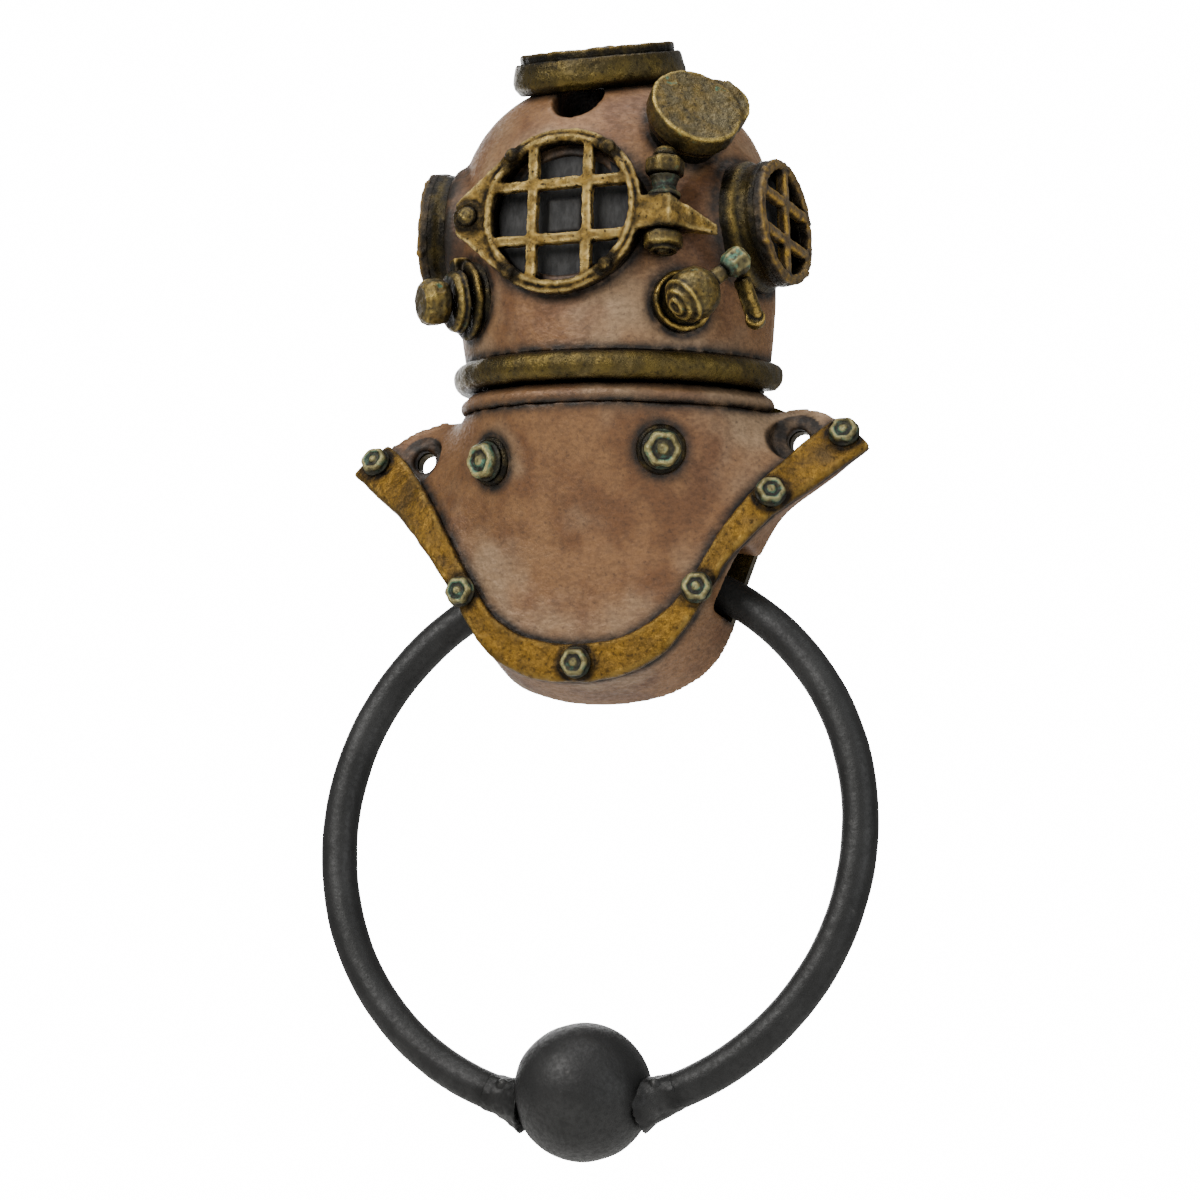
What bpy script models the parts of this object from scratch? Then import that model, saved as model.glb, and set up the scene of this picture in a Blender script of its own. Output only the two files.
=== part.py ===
"""Diving-helmet door knocker: a cast, flat-backed helmet and breastplate with an iron ring.

Lengths are in millimetres until they reach a mesh, where MM turns them into metres.
The back face lies in the plane y = 0 and the knocker stands out toward -Y, +Z up.
The origin is on the back face, midway between the two shoulder screws.
A point is given as (x, depth, z), where depth is its distance in front of the back face.
"""
import math

import bmesh
import bpy
from mathutils import Matrix, Vector

MM = 0.001
GAP = 0.3                    # clearance between pieces that touch or seat
ROUND = 32                   # facets of a large turned piece
MIDDLE = 16                  # facets of a middling one, and of bores
SMALL = 10                   # facets of a small one

# Back plate
PLATE_T = 2.4
PLATE_INSET = 1.2            # how far the plate stays inside the casting's outline
BACK = PLATE_T + GAP         # depth of the casting's flat back

# Bonnet, turned about a vertical axis
BONNET_R = 32.8
BONNET_WALL = 3.0
BONNET_AXIS_DEPTH = 3.0
BONNET_WAIST_Z = 40.0
BONNET_CROWN_Z = 75.6
BONNET_NECK_R = 29.2
BONNET_LEAN = 1.9            # sideways shift of the bonnet at its neck, to the right
BONNET_POWER = 2.55

# Neck: a seat ring and a beaded ring, tipped forward and to one side
NECK_X = 1.5
NECK_Z = 8.0
NECK_AXIS_DEPTH = 0.8
NECK_PITCH = 9.0
NECK_ROLL = 2.0
NECK_BORE_R = 27.0
SEAT_R = 31.4
SEAT_H = 3.6
BEAD_R = 33.7
BEAD_H = 5.8

# Breastplate rim, right half, from the bottom middle to the tip: (x, depth, z)
RIM = [(0.0, 18.0, -49.0), (10.0, 18.0, -47.6), (18.0, 18.0, -43.0), (24.0, 17.8, -35.0),
       (29.6, 17.4, -26.0), (36.5, 14.0, -17.6), (44.5, 9.0, -10.2), (53.6, 5.4, -2.6)]
# The same rim where it meets the flat back: (x, z)
RIM_BACK = [(0.0, -51.0), (12.0, -49.4), (20.5, -45.0), (25.6, -37.0),
            (29.6, -24.5), (35.0, -14.6), (43.5, -8.4), (52.0, -2.2)]
RIM_BACK_X = 0.8             # sideways shift of the back rim, to the right
CHEST_SWELL = -2.0           # outward swell halfway between neck and rim; negative hollows it
SHOULDER_RISE = 3.8          # how far the shoulder line arches above a straight one
POCKET_HALF_W = 20.0
POCKET_TOP = 3.0
POCKET_BOTTOM = -14.0
POCKET_TAPER = 4.0
POCKET_DEPTH = 20.0

# Brail strap
STRAP_W = 7.6
STRAP_T = 1.6

# Ring, ball and hinge
ROD_D = 7.0
RING_R = 52.6                # to the rod's centreline
RING_X = 0.9                 # the ring hangs this far to the right of the middle
HINGE_DEPTH = PLATE_T + ROD_D / 2 + 0.7
HINGE_Z = -24.4
BALL_R = 13.0
BALL_SHIFT = 0.6             # from the ring's lowest point, to the right
BALL_LIFT = 3.2              # and up along the ring's plane
BEAD_W = 4.6                 # length of each weld bead along the ring
SWING = 30.0                 # degrees outward from rest
ROD_CLEAR = 0.7              # groove clearance round the rod
GROOVE_HALF_W = 33.5

# Fixing screws
SHOULDER_SCREW_X = 39.0
TOP_SCREW_Z = 65.0
SCREW_HEAD_D = 10.0
SCREW_BORE_D = 4.6
HEAD_SEAT = 5.5              # depth of the face that the screw head seats on
BOSS_WALL = 1.6

# Back plate screws
PLATE_SCREW_D = 3.0
PLATE_SCREW_HEAD_D = 5.6
PLATE_SCREW_HEAD_H = 1.4
PLATE_SCREW_L = 8.0
PLATE_SCREWS = [(-28.5, -6.0), (28.5, -6.0), (-22.0, 61.5), (22.0, 61.5)]
BONNET_BOSS_R = 3.8
BONNET_BOSS_L = 11.0

# Windows: a barrel with a spigot, a pane, and a guard of bars
FRONT_STAND = 2.2            # of the guard's face in front of the bonnet
FRONT_Z = 39.2
FRONT_R = 15.9
FRONT_OPENING_R = FRONT_R - 1.9
FRONT_LIP = 0.6              # how far the front guard's flange overhangs its barrel
FRONT_REACH = 13.0
FRONT_RECESS = 1.6           # from the back of a guard to its pane
GUARD_T = 2.0
BAR_W = 2.0
BAR_PITCH = 11.0
PANE_T = 1.4
SPIGOT_WALL = 2.0

SIDE_WINDOWS = {"right": (16.0, 7.5, 41.4), "left": (16.0, 4.5, 44.9)}  # turn forward, stand-off, height
SIDE_R = 12.4
SIDE_OPENING_R = 10.4
SIDE_TURN = 82.0             # degrees of the window's facing from straight ahead
SIDE_RISE = 3.0
SIDE_BAR_PITCH = 7.6
SIDE_REACH = 12.0
SIDE_RECESS = 1.4

TOP_LIGHT = (-0.6, 16.8)
TOP_STAND = 4.4              # of the top light's face above the crown
TOP_R = 16.4
TOP_BASE_R = 17.4
TOP_OPENING_R = 13.2
TOP_TILT = 22.0              # degrees that the top light leans forward
TOP_BAR_PITCH = 9.6
TOP_REACH = 7.0
TOP_RECESS = 0.4
TOP_SPIGOT_R = 5.0
TOP_GUARD_R = 15.4

# Front window's ear, lug and hinge
EAR_X = -FRONT_R - 2.7
EAR_END_X = -FRONT_R - 5.3
EAR_HALF_H = 3.0
LUG_START_X = FRONT_R + 1.7
LUG_END_X = FRONT_R + 6.3
LUG_HALF_H = 3.2
LUG_T = 7.0
LUG_Z = -1.6                 # lug's middle, below the window's middle
ARM_END_X = FRONT_R + 13.1
ARM_BACK = 9.2               # from the guard's face back to the arm's end
HINGE_X = FRONT_R + 4.1
HINGE_PIN_BACK = 3.6
HINGE_PIN_D = 3.0
HINGE_PIN_TOP = 11.6         # above the window's middle
HINGE_PIN_BOTTOM = -9.2
NUT_AF = 7.0
NUT_H = 3.4
SPOOL_R = 3.1
EAR_BOLT_R = 1.9
RIVET_R = 1.15
RIVET_SHANK_R = 0.55
RIVET_ANGLES = (50.0, 130.0, 230.0, 310.0)

# Fittings on the bonnet: facing turn and rise in degrees, distance of the outer face
CUP_TURN, CUP_RISE = 39.0, 24.0
CUP_AT = (42.2, 7.9, 60.6)   # turn, stand-off from the bonnet, height
CUP_R = 9.2
CUP_H = 4.2
CUP_LOBE_R = 6.0
CUP_LOBE_OFFSET = (5.6, 2.6)
CUP_SEAT_R = 7.8
CUP_SPIGOT_R, CUP_SPIGOT_L = 4.0, 13.0

EXHAUST_TURN, EXHAUST_RISE = -48.0, -10.0
EXHAUST_AT = (-47.6, 1.9, 26.3)
EXHAUST_FLANGE_R = 7.7
EXHAUST_SPIGOT_R, EXHAUST_SPIGOT_L = 3.4, 10.0
EXHAUST_BODY_R = 6.2
EXHAUST_BODY_H = 2.6
EXHAUST_KNOB_R = 4.4
EXHAUST_KNOB_H = 5.6

COCK_TURN, COCK_RISE = 36.0, -4.0
COCK_AT = (39.2, 2.1, 22.2)
COCK_SEAT_R = 5.8
COCK_BALL_R = 5.1
COCK_SPIGOT_R, COCK_SPIGOT_L = 2.6, 9.0
COCK_STEM_R = 1.7
COCK_KNOB_AT = (50.2, 9.2, 28.8)
COCK_KNOB_R = 2.6
LEVER_AT = (58.0, 8.6, 19.0)
LEVER_W = 3.0
LEVER_T = 1.6

# Brail bolts: place along the rim (-1 left tip, 0 bottom, 1 right tip)
BRAIL_BOLTS = {"left_tip": -0.955, "left_lower": -0.44, "bottom": 0.0,
               "right_lower": 0.42, "right_upper": 0.72, "right_tip": 0.965}
BRAIL_HEAD_R = 2.9
BRAIL_HEAD_H = 1.8
BRAIL_SHANK_R = 1.1
BRAIL_SHANK_L = 4.0

# Chest studs
STUD_X = 17.5
STUD_Z = -5.8
STUD_HEAD_AF = 7.0
STUD_HEAD_H = 2.6
STUD_WASHER_R = 4.7
STUD_WASHER_H = 1.0
STUD_SHANK_R = 1.6
STUD_SHANK_L = 6.0


# ---------------------------------------------------------------- materials

def material(name, colour, roughness, metallic):
    """A Principled material; colour is linear RGB."""
    mat = bpy.data.materials.new(name)
    mat.use_nodes = True
    shader = mat.node_tree.nodes["Principled BSDF"]
    shader.inputs["Base Color"].default_value = (*colour, 1.0)
    shader.inputs["Roughness"].default_value = roughness
    shader.inputs["Metallic"].default_value = metallic
    mat.diffuse_color = (*colour, 1.0)
    return mat


def make_materials():
    return {
        "copper": material("copper_paint", (0.27, 0.16, 0.09), 0.6, 0.3),
        "brass": material("dark_brass", (0.10, 0.08, 0.04), 0.45, 0.7),
        "gold": material("gold_brass", (0.32, 0.22, 0.07), 0.42, 0.8),
        "verdigris": material("verdigris_bolt", (0.12, 0.17, 0.12), 0.6, 0.5),
        "pane": material("charcoal_pane", (0.03, 0.03, 0.035), 0.5, 0.0),
        "iron": material("black_iron", (0.02, 0.02, 0.022), 0.55, 0.4),
        "zinc": material("zinc_steel", (0.40, 0.40, 0.42), 0.35, 0.9),
    }


# ------------------------------------------------------------ mesh helpers

def at(x, depth, z):
    """A point in the part's frame, in millimetres."""
    return Vector((x, -depth, z))


def facing(turn, rise):
    """Unit vector that faces out of the bonnet; turn 0 is straight ahead, + to the right."""
    t, r = math.radians(turn), math.radians(rise)
    return Vector((math.sin(t) * math.cos(r), -math.cos(t) * math.cos(r), math.sin(r)))


def frame(origin, normal):
    """Matrix whose +Z is the normal and whose +Y is as near as may be to up."""
    z = normal.normalized()
    up = Vector((0.0, 0.0, 1.0)) if abs(z.z) < 0.99 else Vector((0.0, -1.0, 0.0))
    x = up.cross(z).normalized()
    y = z.cross(x)
    turn = Matrix((x, y, z)).transposed().to_4x4()
    return Matrix.Translation(origin) @ turn


def add_object(name, bm, matrix=None, mat=None, smooth=True):
    """Turn a bmesh in millimetres into a named object in metres."""
    if matrix is not None:
        bmesh.ops.transform(bm, matrix=matrix, verts=bm.verts)
    bmesh.ops.scale(bm, vec=(MM, MM, MM), verts=bm.verts)
    bmesh.ops.recalc_face_normals(bm, faces=bm.faces)
    mesh = bpy.data.meshes.new(name)
    bm.to_mesh(mesh)
    bm.free()
    obj = bpy.data.objects.new(name, mesh)
    bpy.context.scene.collection.objects.link(obj)
    if mat:
        mesh.materials.append(mat)
    if smooth:
        mesh.shade_smooth()
        mesh.set_sharp_from_angle(angle=math.radians(35.0))
    return obj


def turned(profile, facets):
    """Solid of revolution about local Z from (radius, z) points.

    A profile that starts and ends on the axis is capped there; any other is a closed loop.
    """
    bm = bmesh.new()
    rings = []
    for radius, z in profile:
        if radius < 1e-6:
            rings.append([bm.verts.new((0.0, 0.0, z))])
            continue
        rings.append([bm.verts.new((radius * math.cos(math.tau * i / facets),
                                    radius * math.sin(math.tau * i / facets), z))
                      for i in range(facets)])
    capped = len(rings[0]) == 1 and len(rings[-1]) == 1
    pairs = list(zip(rings, rings[1:])) if capped else list(zip(rings, rings[1:] + rings[:1]))
    for low, high in pairs:
        for i in range(facets):
            j = (i + 1) % facets
            corners = [low[i % len(low)], low[j % len(low)], high[j % len(high)], high[i % len(high)]]
            unique = list(dict.fromkeys(corners))
            if len(unique) > 2:
                bm.faces.new(unique)
    return bm


def cylinder(radius, z0, z1, facets=ROUND, top_radius=None):
    """Closed cylinder or cone along local Z."""
    top = radius if top_radius is None else top_radius
    return turned([(0.0, z0), (radius, z0), (top, z1), (0.0, z1)], facets)


def prism(outline, z0, z1):
    """Closed prism along local Z over a convex or simple outline of (x, y) points."""
    bm = bmesh.new()
    low = [bm.verts.new((x, y, z0)) for x, y in outline]
    high = [bm.verts.new((x, y, z1)) for x, y in outline]
    bm.faces.new(list(reversed(low)))
    bm.faces.new(high)
    for i in range(len(outline)):
        j = (i + 1) % len(outline)
        bm.faces.new((low[i], low[j], high[j], high[i]))
    return bm


def box(x0, x1, y0, y1, z0, z1):
    return prism([(x0, y0), (x1, y0), (x1, y1), (x0, y1)], z0, z1)


def depth_box(x0, x1, depth0, depth1, z0, z1):
    """Box given in the part's own x, depth and z."""
    return box(x0, x1, -depth1, -depth0, z0, z1)


def stepped_bore(wide, narrow, step, start, end):
    """Cutter along +Z: one radius up to the step and the other beyond it."""
    profile = [(0.0, start), (narrow, start), (narrow, step), (wide, step), (wide, end), (0.0, end)]
    return turned(profile, MIDDLE)


def forward(x, z):
    """Frame on the back face at (x, z), with +Z straight out of the front."""
    return frame(at(x, 0.0, z), at(0.0, 1.0, 0.0))


def hexagon(across_flats, z0, z1):
    radius = across_flats / math.sqrt(3.0)
    return prism([(radius * math.cos(math.radians(60 * i + 30)),
                   radius * math.sin(math.radians(60 * i + 30))) for i in range(6)], z0, z1)


def dome(radius, height, z0, steps=4):
    """Profile points of a shallow dome that starts at (radius, z0) and ends on the axis."""
    return [(radius * math.cos(math.pi / 2 * i / steps),
             z0 + height * math.sin(math.pi / 2 * i / steps)) for i in range(steps)] + \
           [(0.0, z0 + height)]


def rows_solid(rows):
    """Closed solid from rows of points; every row is a closed loop, and the ends are capped.

    It is triangulated, because a Boolean on its bent quads leaves holes.
    """
    bm = bmesh.new()
    grid = [[bm.verts.new(point) for point in row] for row in rows]
    count = len(rows[0])
    for a, b in zip(grid, grid[1:]):
        for i in range(count):
            j = (i + 1) % count
            bm.faces.new((a[i], a[j], b[j], b[i]))
    bm.faces.new(grid[0])
    bm.faces.new(list(reversed(grid[-1])))
    bmesh.ops.triangulate(bm, faces=bm.faces)
    return bm


def combine(obj, bm, operation, matrix=None):
    """Cut or join a bmesh into an object with an applied Boolean."""
    tool = add_object(obj.name + "_tool", bm, matrix, smooth=False)
    modifier = obj.modifiers.new(operation.lower(), "BOOLEAN")
    modifier.operation = operation
    modifier.solver = "EXACT"
    modifier.object = tool
    apply_modifiers(obj)
    bpy.data.objects.remove(tool)


def apply_modifiers(obj):
    depsgraph = bpy.context.evaluated_depsgraph_get()
    mesh = bpy.data.meshes.new_from_object(obj.evaluated_get(depsgraph))
    old = obj.data
    obj.modifiers.clear()
    obj.data = mesh
    mesh.name = obj.name
    bpy.data.meshes.remove(old)


def cut(obj, bm, matrix=None):
    combine(obj, bm, "DIFFERENCE", matrix)


def join(obj, bm, matrix=None):
    combine(obj, bm, "UNION", matrix)


def finish(obj):
    """Weld stray points, then shade round faces smooth and keep the corners sharp."""
    bm = bmesh.new()
    bm.from_mesh(obj.data)
    bmesh.ops.remove_doubles(bm, verts=bm.verts, dist=1e-6)
    bmesh.ops.recalc_face_normals(bm, faces=bm.faces)
    bm.to_mesh(obj.data)
    bm.free()
    obj.data.shade_smooth()
    obj.data.set_sharp_from_angle(angle=math.radians(35.0))
    return obj


def set_origin(obj, point):
    """Move an object's origin without moving its mesh."""
    shift = point * MM
    obj.data.transform(Matrix.Translation(-shift))
    obj.location = shift


# ---------------------------------------------------------- shared surfaces

def smooth_path(points, t):
    """Catmull-Rom curve through the points at t from 0 to 1."""
    spans = len(points) - 1
    place = min(max(t, 0.0), 1.0) * spans
    i = min(int(place), spans - 1)
    u = place - i
    p = [Vector(points[min(max(k, 0), spans)]) for k in (i - 1, i, i + 1, i + 2)]
    if i == 0:
        mirrored = p[2].copy()
        mirrored.x = -mirrored.x
        p[0] = mirrored
    return 0.5 * (2.0 * p[1] + (p[2] - p[0]) * u + (2.0 * p[0] - 5.0 * p[1] + 4.0 * p[2] - p[3]) * u ** 2
                  + (3.0 * p[1] - p[0] - 3.0 * p[2] + p[3]) * u ** 3)


def bonnet_radius(z, offset=0.0):
    """Radius of the bonnet at a height, moved out by offset."""
    radius = BONNET_R + offset
    if z >= BONNET_WAIST_Z:
        rise = BONNET_CROWN_Z - BONNET_WAIST_Z + offset
        share = min((z - BONNET_WAIST_Z) / rise, 1.0)
        return radius * (1.0 - share ** BONNET_POWER) ** (1.0 / BONNET_POWER)
    share = (BONNET_WAIST_Z - z) / (BONNET_WAIST_Z - NECK_Z)
    return radius - (BONNET_R - BONNET_NECK_R) * share ** 2


def bonnet_lean(z):
    """Sideways shift of the bonnet's axis at a height below the waist."""
    share = min(max((BONNET_WAIST_Z - z) / (BONNET_WAIST_Z - NECK_Z), 0.0), 1.0)
    return BONNET_LEAN * (1.0 - (1.0 - share) ** 2)


def bonnet_solid(offset=0.0, bottom=2.0, facets=ROUND + 4):
    """The bonnet's turned outer shape, solid, moved out by offset."""
    crown = BONNET_CROWN_Z + offset
    heights = [bottom, NECK_Z + 6.0, 24.0, 32.0, BONNET_WAIST_Z]
    dome_h = crown - BONNET_WAIST_Z
    heights += [BONNET_WAIST_Z + dome_h * math.sin(math.pi / 2 * i / 8) for i in range(1, 8)]
    profile = [(0.0, bottom)] + [(bonnet_radius(z, offset), z) for z in heights] + [(0.0, crown)]
    bm = turned(profile, facets)
    for vert in bm.verts:
        vert.co += at(bonnet_lean(vert.co.z), BONNET_AXIS_DEPTH, 0.0)
    return bm


def on_bonnet(turn, stand, z):
    """Point a stand-off outside the bonnet; turn in degrees from straight ahead, + to the right."""
    t, reach = math.radians(turn), bonnet_radius(z) + stand
    return at(bonnet_lean(z) + reach * math.sin(t), BONNET_AXIS_DEPTH + reach * math.cos(t), z)


def neck_frame():
    """Matrix at the bottom of the seat ring, +Z along the neck's tipped axis."""
    roll = Matrix.Rotation(math.radians(NECK_ROLL), 4, "Y")
    turn = roll @ Matrix.Rotation(math.radians(NECK_PITCH), 4, "X")
    return Matrix.Translation(at(NECK_X, NECK_AXIS_DEPTH, NECK_Z)) @ turn


def slab(z0, z1, half=60.0):
    return box(-half, half, -half, half, z0, z1)


def rim(s, back=False):
    """Point of the breastplate's rim for s from -1 (left tip) to 1 (right tip)."""
    if back:
        x, z = smooth_path([Vector((x, z, 0.0)) for x, z in RIM_BACK], abs(s)).xy
        return at(math.copysign(x, s) + RIM_BACK_X, BACK, z)
    x, depth, z = smooth_path(RIM, abs(s))
    return at(math.copysign(x, s), depth, z)


def neck_edge(s):
    """Point of the breastplate's neck for s from -1 to 1."""
    angle = math.pi / 2 * s
    depth = NECK_AXIS_DEPTH + SEAT_R * math.cos(angle)
    x = NECK_X + SEAT_R * math.sin(angle)
    normal = neck_frame().to_3x3() @ Vector((0.0, 0.0, 1.0))
    base = neck_frame().translation - normal * GAP
    point = at(x, max(depth, BACK), 0.0)
    point.z = base.z - (normal.x * (point.x - base.x) + normal.y * (point.y - base.y)) / normal.z
    return point


def shoulder_arch(s, v):
    """Upward arch of the breastplate, which grows toward the shoulder lines at s = -1 and 1."""
    return SHOULDER_RISE * 4.0 * v * (1.0 - v) * s ** 6


def breast_point(s, v):
    """Point of the breastplate's front, v = 0 at the neck and 1 at the rim."""
    point = neck_edge(s).lerp(rim(s), v)
    point.y -= CHEST_SWELL * 4.0 * v * (1.0 - v) * (1.0 - s * s)
    point.z += shoulder_arch(s, v)
    return point


def breast_back(s, v):
    """Point of the breastplate's flat back, behind breast_point(s, v) at the neck."""
    low, high = neck_edge(-1.0).z, neck_edge(1.0).z
    neck = at(neck_edge(s).x, BACK, low + (high - low) * (1.0 + s) / 2.0)
    if abs(s) == 1.0:
        neck.x -= math.copysign(GAP, s)
    point = neck.lerp(rim(s, back=True), v)
    point.z += shoulder_arch(s, v)
    return point


def breast_normal(s, v):
    """Outward unit normal of the breastplate's front."""
    ds, dv = 0.01, 0.01
    s0, s1 = max(s - ds, -1.0), min(s + ds, 1.0)
    v0, v1 = max(v - dv, 0.0), min(v + dv, 1.0)
    normal = (breast_point(s1, v) - breast_point(s0, v)).cross(breast_point(s, v0) - breast_point(s, v1))
    normal.normalize()
    return normal if normal.y < 0.0 else -normal


def breast_at(x, z):
    """Place (s, v) on the front that lies at the given x and z."""
    s, v = x / 55.0, 0.4
    for _ in range(60):
        here = breast_point(s, v)
        along = (breast_point(min(s + 0.01, 1.0), v) - here) / 0.01
        across = (breast_point(s, v + 0.01) - here) / 0.01
        det = along.x * across.z - across.x * along.z
        dx, dz = x - here.x, z - here.z
        s = min(max(s + 0.5 * (dx * across.z - across.x * dz) / det, -0.98), 0.98)
        v = min(max(v + 0.5 * (along.x * dz - dx * along.z) / det, 0.0), 0.98)
    return s, v


def strap_start(s):
    """v of the strap's inner edge, a strap's width in from the rim."""
    return 1.0 - STRAP_W / (rim(s) - neck_edge(s)).length


# ------------------------------------------------------------------- pieces

def make_bonnet(mats):
    cavity = add_object("cavity", bonnet_solid(-BONNET_WALL, bottom=0.0, facets=ROUND))
    bosses = [(0.0, TOP_SCREW_Z, SCREW_HEAD_D / 2 + BOSS_WALL, 60.0)]
    bosses += [(x, z, BONNET_BOSS_R, BONNET_BOSS_L) for x, z in PLATE_SCREWS if z > NECK_Z]
    for x, z, radius, length in bosses:
        cut(cavity, cylinder(radius, -50.0, length, MIDDLE), forward(x, z))
    bonnet = add_object("bonnet", bonnet_solid(), mat=mats["copper"])
    cavity_bm = bmesh.new()
    cavity_bm.from_mesh(cavity.data)
    bmesh.ops.scale(cavity_bm, vec=(1 / MM, 1 / MM, 1 / MM), verts=cavity_bm.verts)
    bpy.data.objects.remove(cavity)
    cut(bonnet, cavity_bm)
    cut(bonnet, depth_box(-60.0, 60.0, -60.0, BACK, -10.0, 100.0))
    cut(bonnet, slab(-40.0, SEAT_H + BEAD_H + 2 * GAP), neck_frame())
    return bonnet


def screw_hole(obj, x, z):
    """Counterbored hole for a fixing screw, straight through to the back."""
    cut(obj, stepped_bore(SCREW_HEAD_D / 2, SCREW_BORE_D / 2, HEAD_SEAT, -1.0, 60.0), forward(x, z))


def make_neck_rings(mats):
    half = BEAD_H / 2
    bead = [(BEAD_R - half * 0.75 + half * 0.75 * math.cos(a), half + half * math.sin(a))
            for a in (math.radians(d) for d in range(-90, 91, 30))]
    rings = {
        "neck_seat_ring": ([(NECK_BORE_R, 0.0), (SEAT_R, 0.0), (SEAT_R + 0.6, 1.0), (SEAT_R + 0.6, 2.2),
                            (SEAT_R - 1.4, SEAT_H), (NECK_BORE_R, SEAT_H)], 0.0, "copper"),
        "neck_bead_ring": ([(NECK_BORE_R, 0.0)] + bead + [(NECK_BORE_R, BEAD_H)], SEAT_H + GAP, "brass"),
    }
    for name, (profile, lift, mat) in rings.items():
        ring = add_object(name, turned(profile, ROUND + 4),
                          neck_frame() @ Matrix.Translation((0.0, 0.0, lift)), mats[mat])
        cut(ring, depth_box(-60.0, 60.0, -60.0, BACK, -60.0, 100.0))
        finish(ring)


def breast_solid():
    """Solid block between the breastplate's front and the flat back."""
    steps, across, rows = 28, 5, []
    for i in range(steps + 1):
        s = -1.0 + 2.0 * i / steps
        front = [breast_point(s, k / across) for k in range(across + 1)]
        back = [breast_back(s, k / across) for k in range(across, -1, -1)]
        rows.append(front + back)
    return rows_solid(rows)


def rod_drop(x):
    """How far the ring's centreline has fallen below its hinge axis at x."""
    return RING_R - math.sqrt(RING_R ** 2 - min(abs(x), RING_R) ** 2)


def groove_solid():
    """Room for the ring's top to lie in and swing."""
    reach = ROD_D / 2 + ROD_CLEAR
    rows = []
    for i in range(13):
        x = RING_X + GROOVE_HALF_W * (i / 6 - 1.0)
        drop = rod_drop(x - RING_X)
        front = HINGE_DEPTH + drop * math.sin(math.radians(SWING)) + reach
        top = HINGE_Z + reach + 0.6 - drop * 0.30
        bottom = HINGE_Z - drop - reach - 0.6
        rows.append([at(x, BACK - 2.0, bottom), at(x, front - 1.5, bottom), at(x, front, bottom + 1.5),
                     at(x, front, top - 1.5), at(x, front - 1.5, top), at(x, BACK - 2.0, top)])
    return rows_solid(rows)


def make_breastplate(mats):
    plate = add_object("breastplate", breast_solid(), mat=mats["copper"])
    cut(plate, groove_solid())
    pocket = []
    for depth, inset, lift in ((BACK - 2.0, 0.0, 0.0), (POCKET_DEPTH, POCKET_TAPER, 1.0)):
        half, low, high = POCKET_HALF_W - inset, POCKET_BOTTOM + lift, POCKET_TOP - lift
        pocket.append([at(-half, depth, low), at(half, depth, low), at(half, depth, high), at(-half, depth, high)])
    cut(plate, rows_solid(pocket))
    for side in (-1.0, 1.0):
        screw_hole(plate, side * SHOULDER_SCREW_X, 0.0)
    return plate


def make_strap(mats):
    steps, rows = 32, []
    for i in range(steps + 1):
        s = (-1.0 + 2.0 * i / steps) * 0.995
        edge = strap_start(s)
        row = []
        middle = (1.0 + edge) / 2
        for v, lift in ((edge, GAP), (1.0, GAP), (1.0, GAP + STRAP_T), (middle, GAP + STRAP_T * 1.15),
                        (edge, GAP + STRAP_T)):
            row.append(breast_point(s, v) + breast_normal(s, min(v, 0.97)) * lift)
        rows.append(row)
    strap = add_object("brail_strap", rows_solid(rows), mat=mats["gold"])
    cut(strap, depth_box(-70.0, 70.0, -60.0, BACK, -70.0, 70.0))
    return strap


def make_brail_bolts(mats, strap, plate):
    for name, s in BRAIL_BOLTS.items():
        v = (1.0 + strap_start(s)) / 2
        normal = breast_normal(s, v)
        place = frame(breast_point(s, v) + normal * (GAP + STRAP_T * 1.15), normal)
        bore = cylinder(BRAIL_SHANK_R + GAP, -BRAIL_SHANK_L - GAP, 3.0, SMALL)
        cut(strap, bore.copy(), place)
        cut(plate, bore, place)
        head = [(BRAIL_HEAD_R, GAP), (BRAIL_HEAD_R, GAP + 0.8)]
        head += dome(BRAIL_HEAD_R * 0.72, 0.6, GAP + BRAIL_HEAD_H, 2)
        profile = [(0.0, -BRAIL_SHANK_L), (BRAIL_SHANK_R, -BRAIL_SHANK_L), (BRAIL_SHANK_R, GAP)] + head
        finish(add_object("brail_bolt_" + name, turned(profile, SMALL), place, mats["verdigris"]))


def make_chest_studs(mats, plate):
    for side, word in ((-1.0, "left"), (1.0, "right")):
        s, v = breast_at(side * STUD_X, STUD_Z)
        normal = breast_normal(s, v)
        place = frame(breast_point(s, v), normal)
        cut(plate, cylinder(STUD_SHANK_R + GAP, -STUD_SHANK_L - GAP, 4.0, SMALL), place)
        top = GAP + STUD_WASHER_H
        washer = turned([(STUD_SHANK_R + GAP, GAP), (STUD_WASHER_R, GAP), (STUD_WASHER_R, top - 0.3),
                         (STUD_WASHER_R - 0.5, top), (STUD_SHANK_R + GAP, top)], MIDDLE)
        finish(add_object("chest_washer_" + word, washer, place, mats["brass"]))
        stud = add_object("chest_stud_" + word, hexagon(STUD_HEAD_AF, top + GAP, top + GAP + STUD_HEAD_H),
                          place, mats["verdigris"])
        join(stud, cylinder(STUD_SHANK_R, -STUD_SHANK_L, top + GAP + 0.5, SMALL), place)
        finish(stud)


def guard_cells(radius, pitch, bars_x=2, bars_y=2):
    """The openings of a guard: a disc less its bars."""
    cells = add_object("cells", cylinder(radius, -GUARD_T - 1.0, 1.0, 24))
    for count, across in ((bars_x, True), (bars_y, False)):
        for i in range(count):
            middle = (i - (count - 1) / 2) * pitch
            lo, hi = middle - BAR_W / 2, middle + BAR_W / 2
            reach = radius + 2.0
            sides = (lo, hi, -reach, reach) if across else (-reach, reach, lo, hi)
            cut(cells, box(*sides, -9.0, 9.0))
    bm = bmesh.new()
    bm.from_mesh(cells.data)
    bmesh.ops.scale(bm, vec=(1 / MM, 1 / MM, 1 / MM), verts=bm.verts)
    bpy.data.objects.remove(cells)
    return bm


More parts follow.
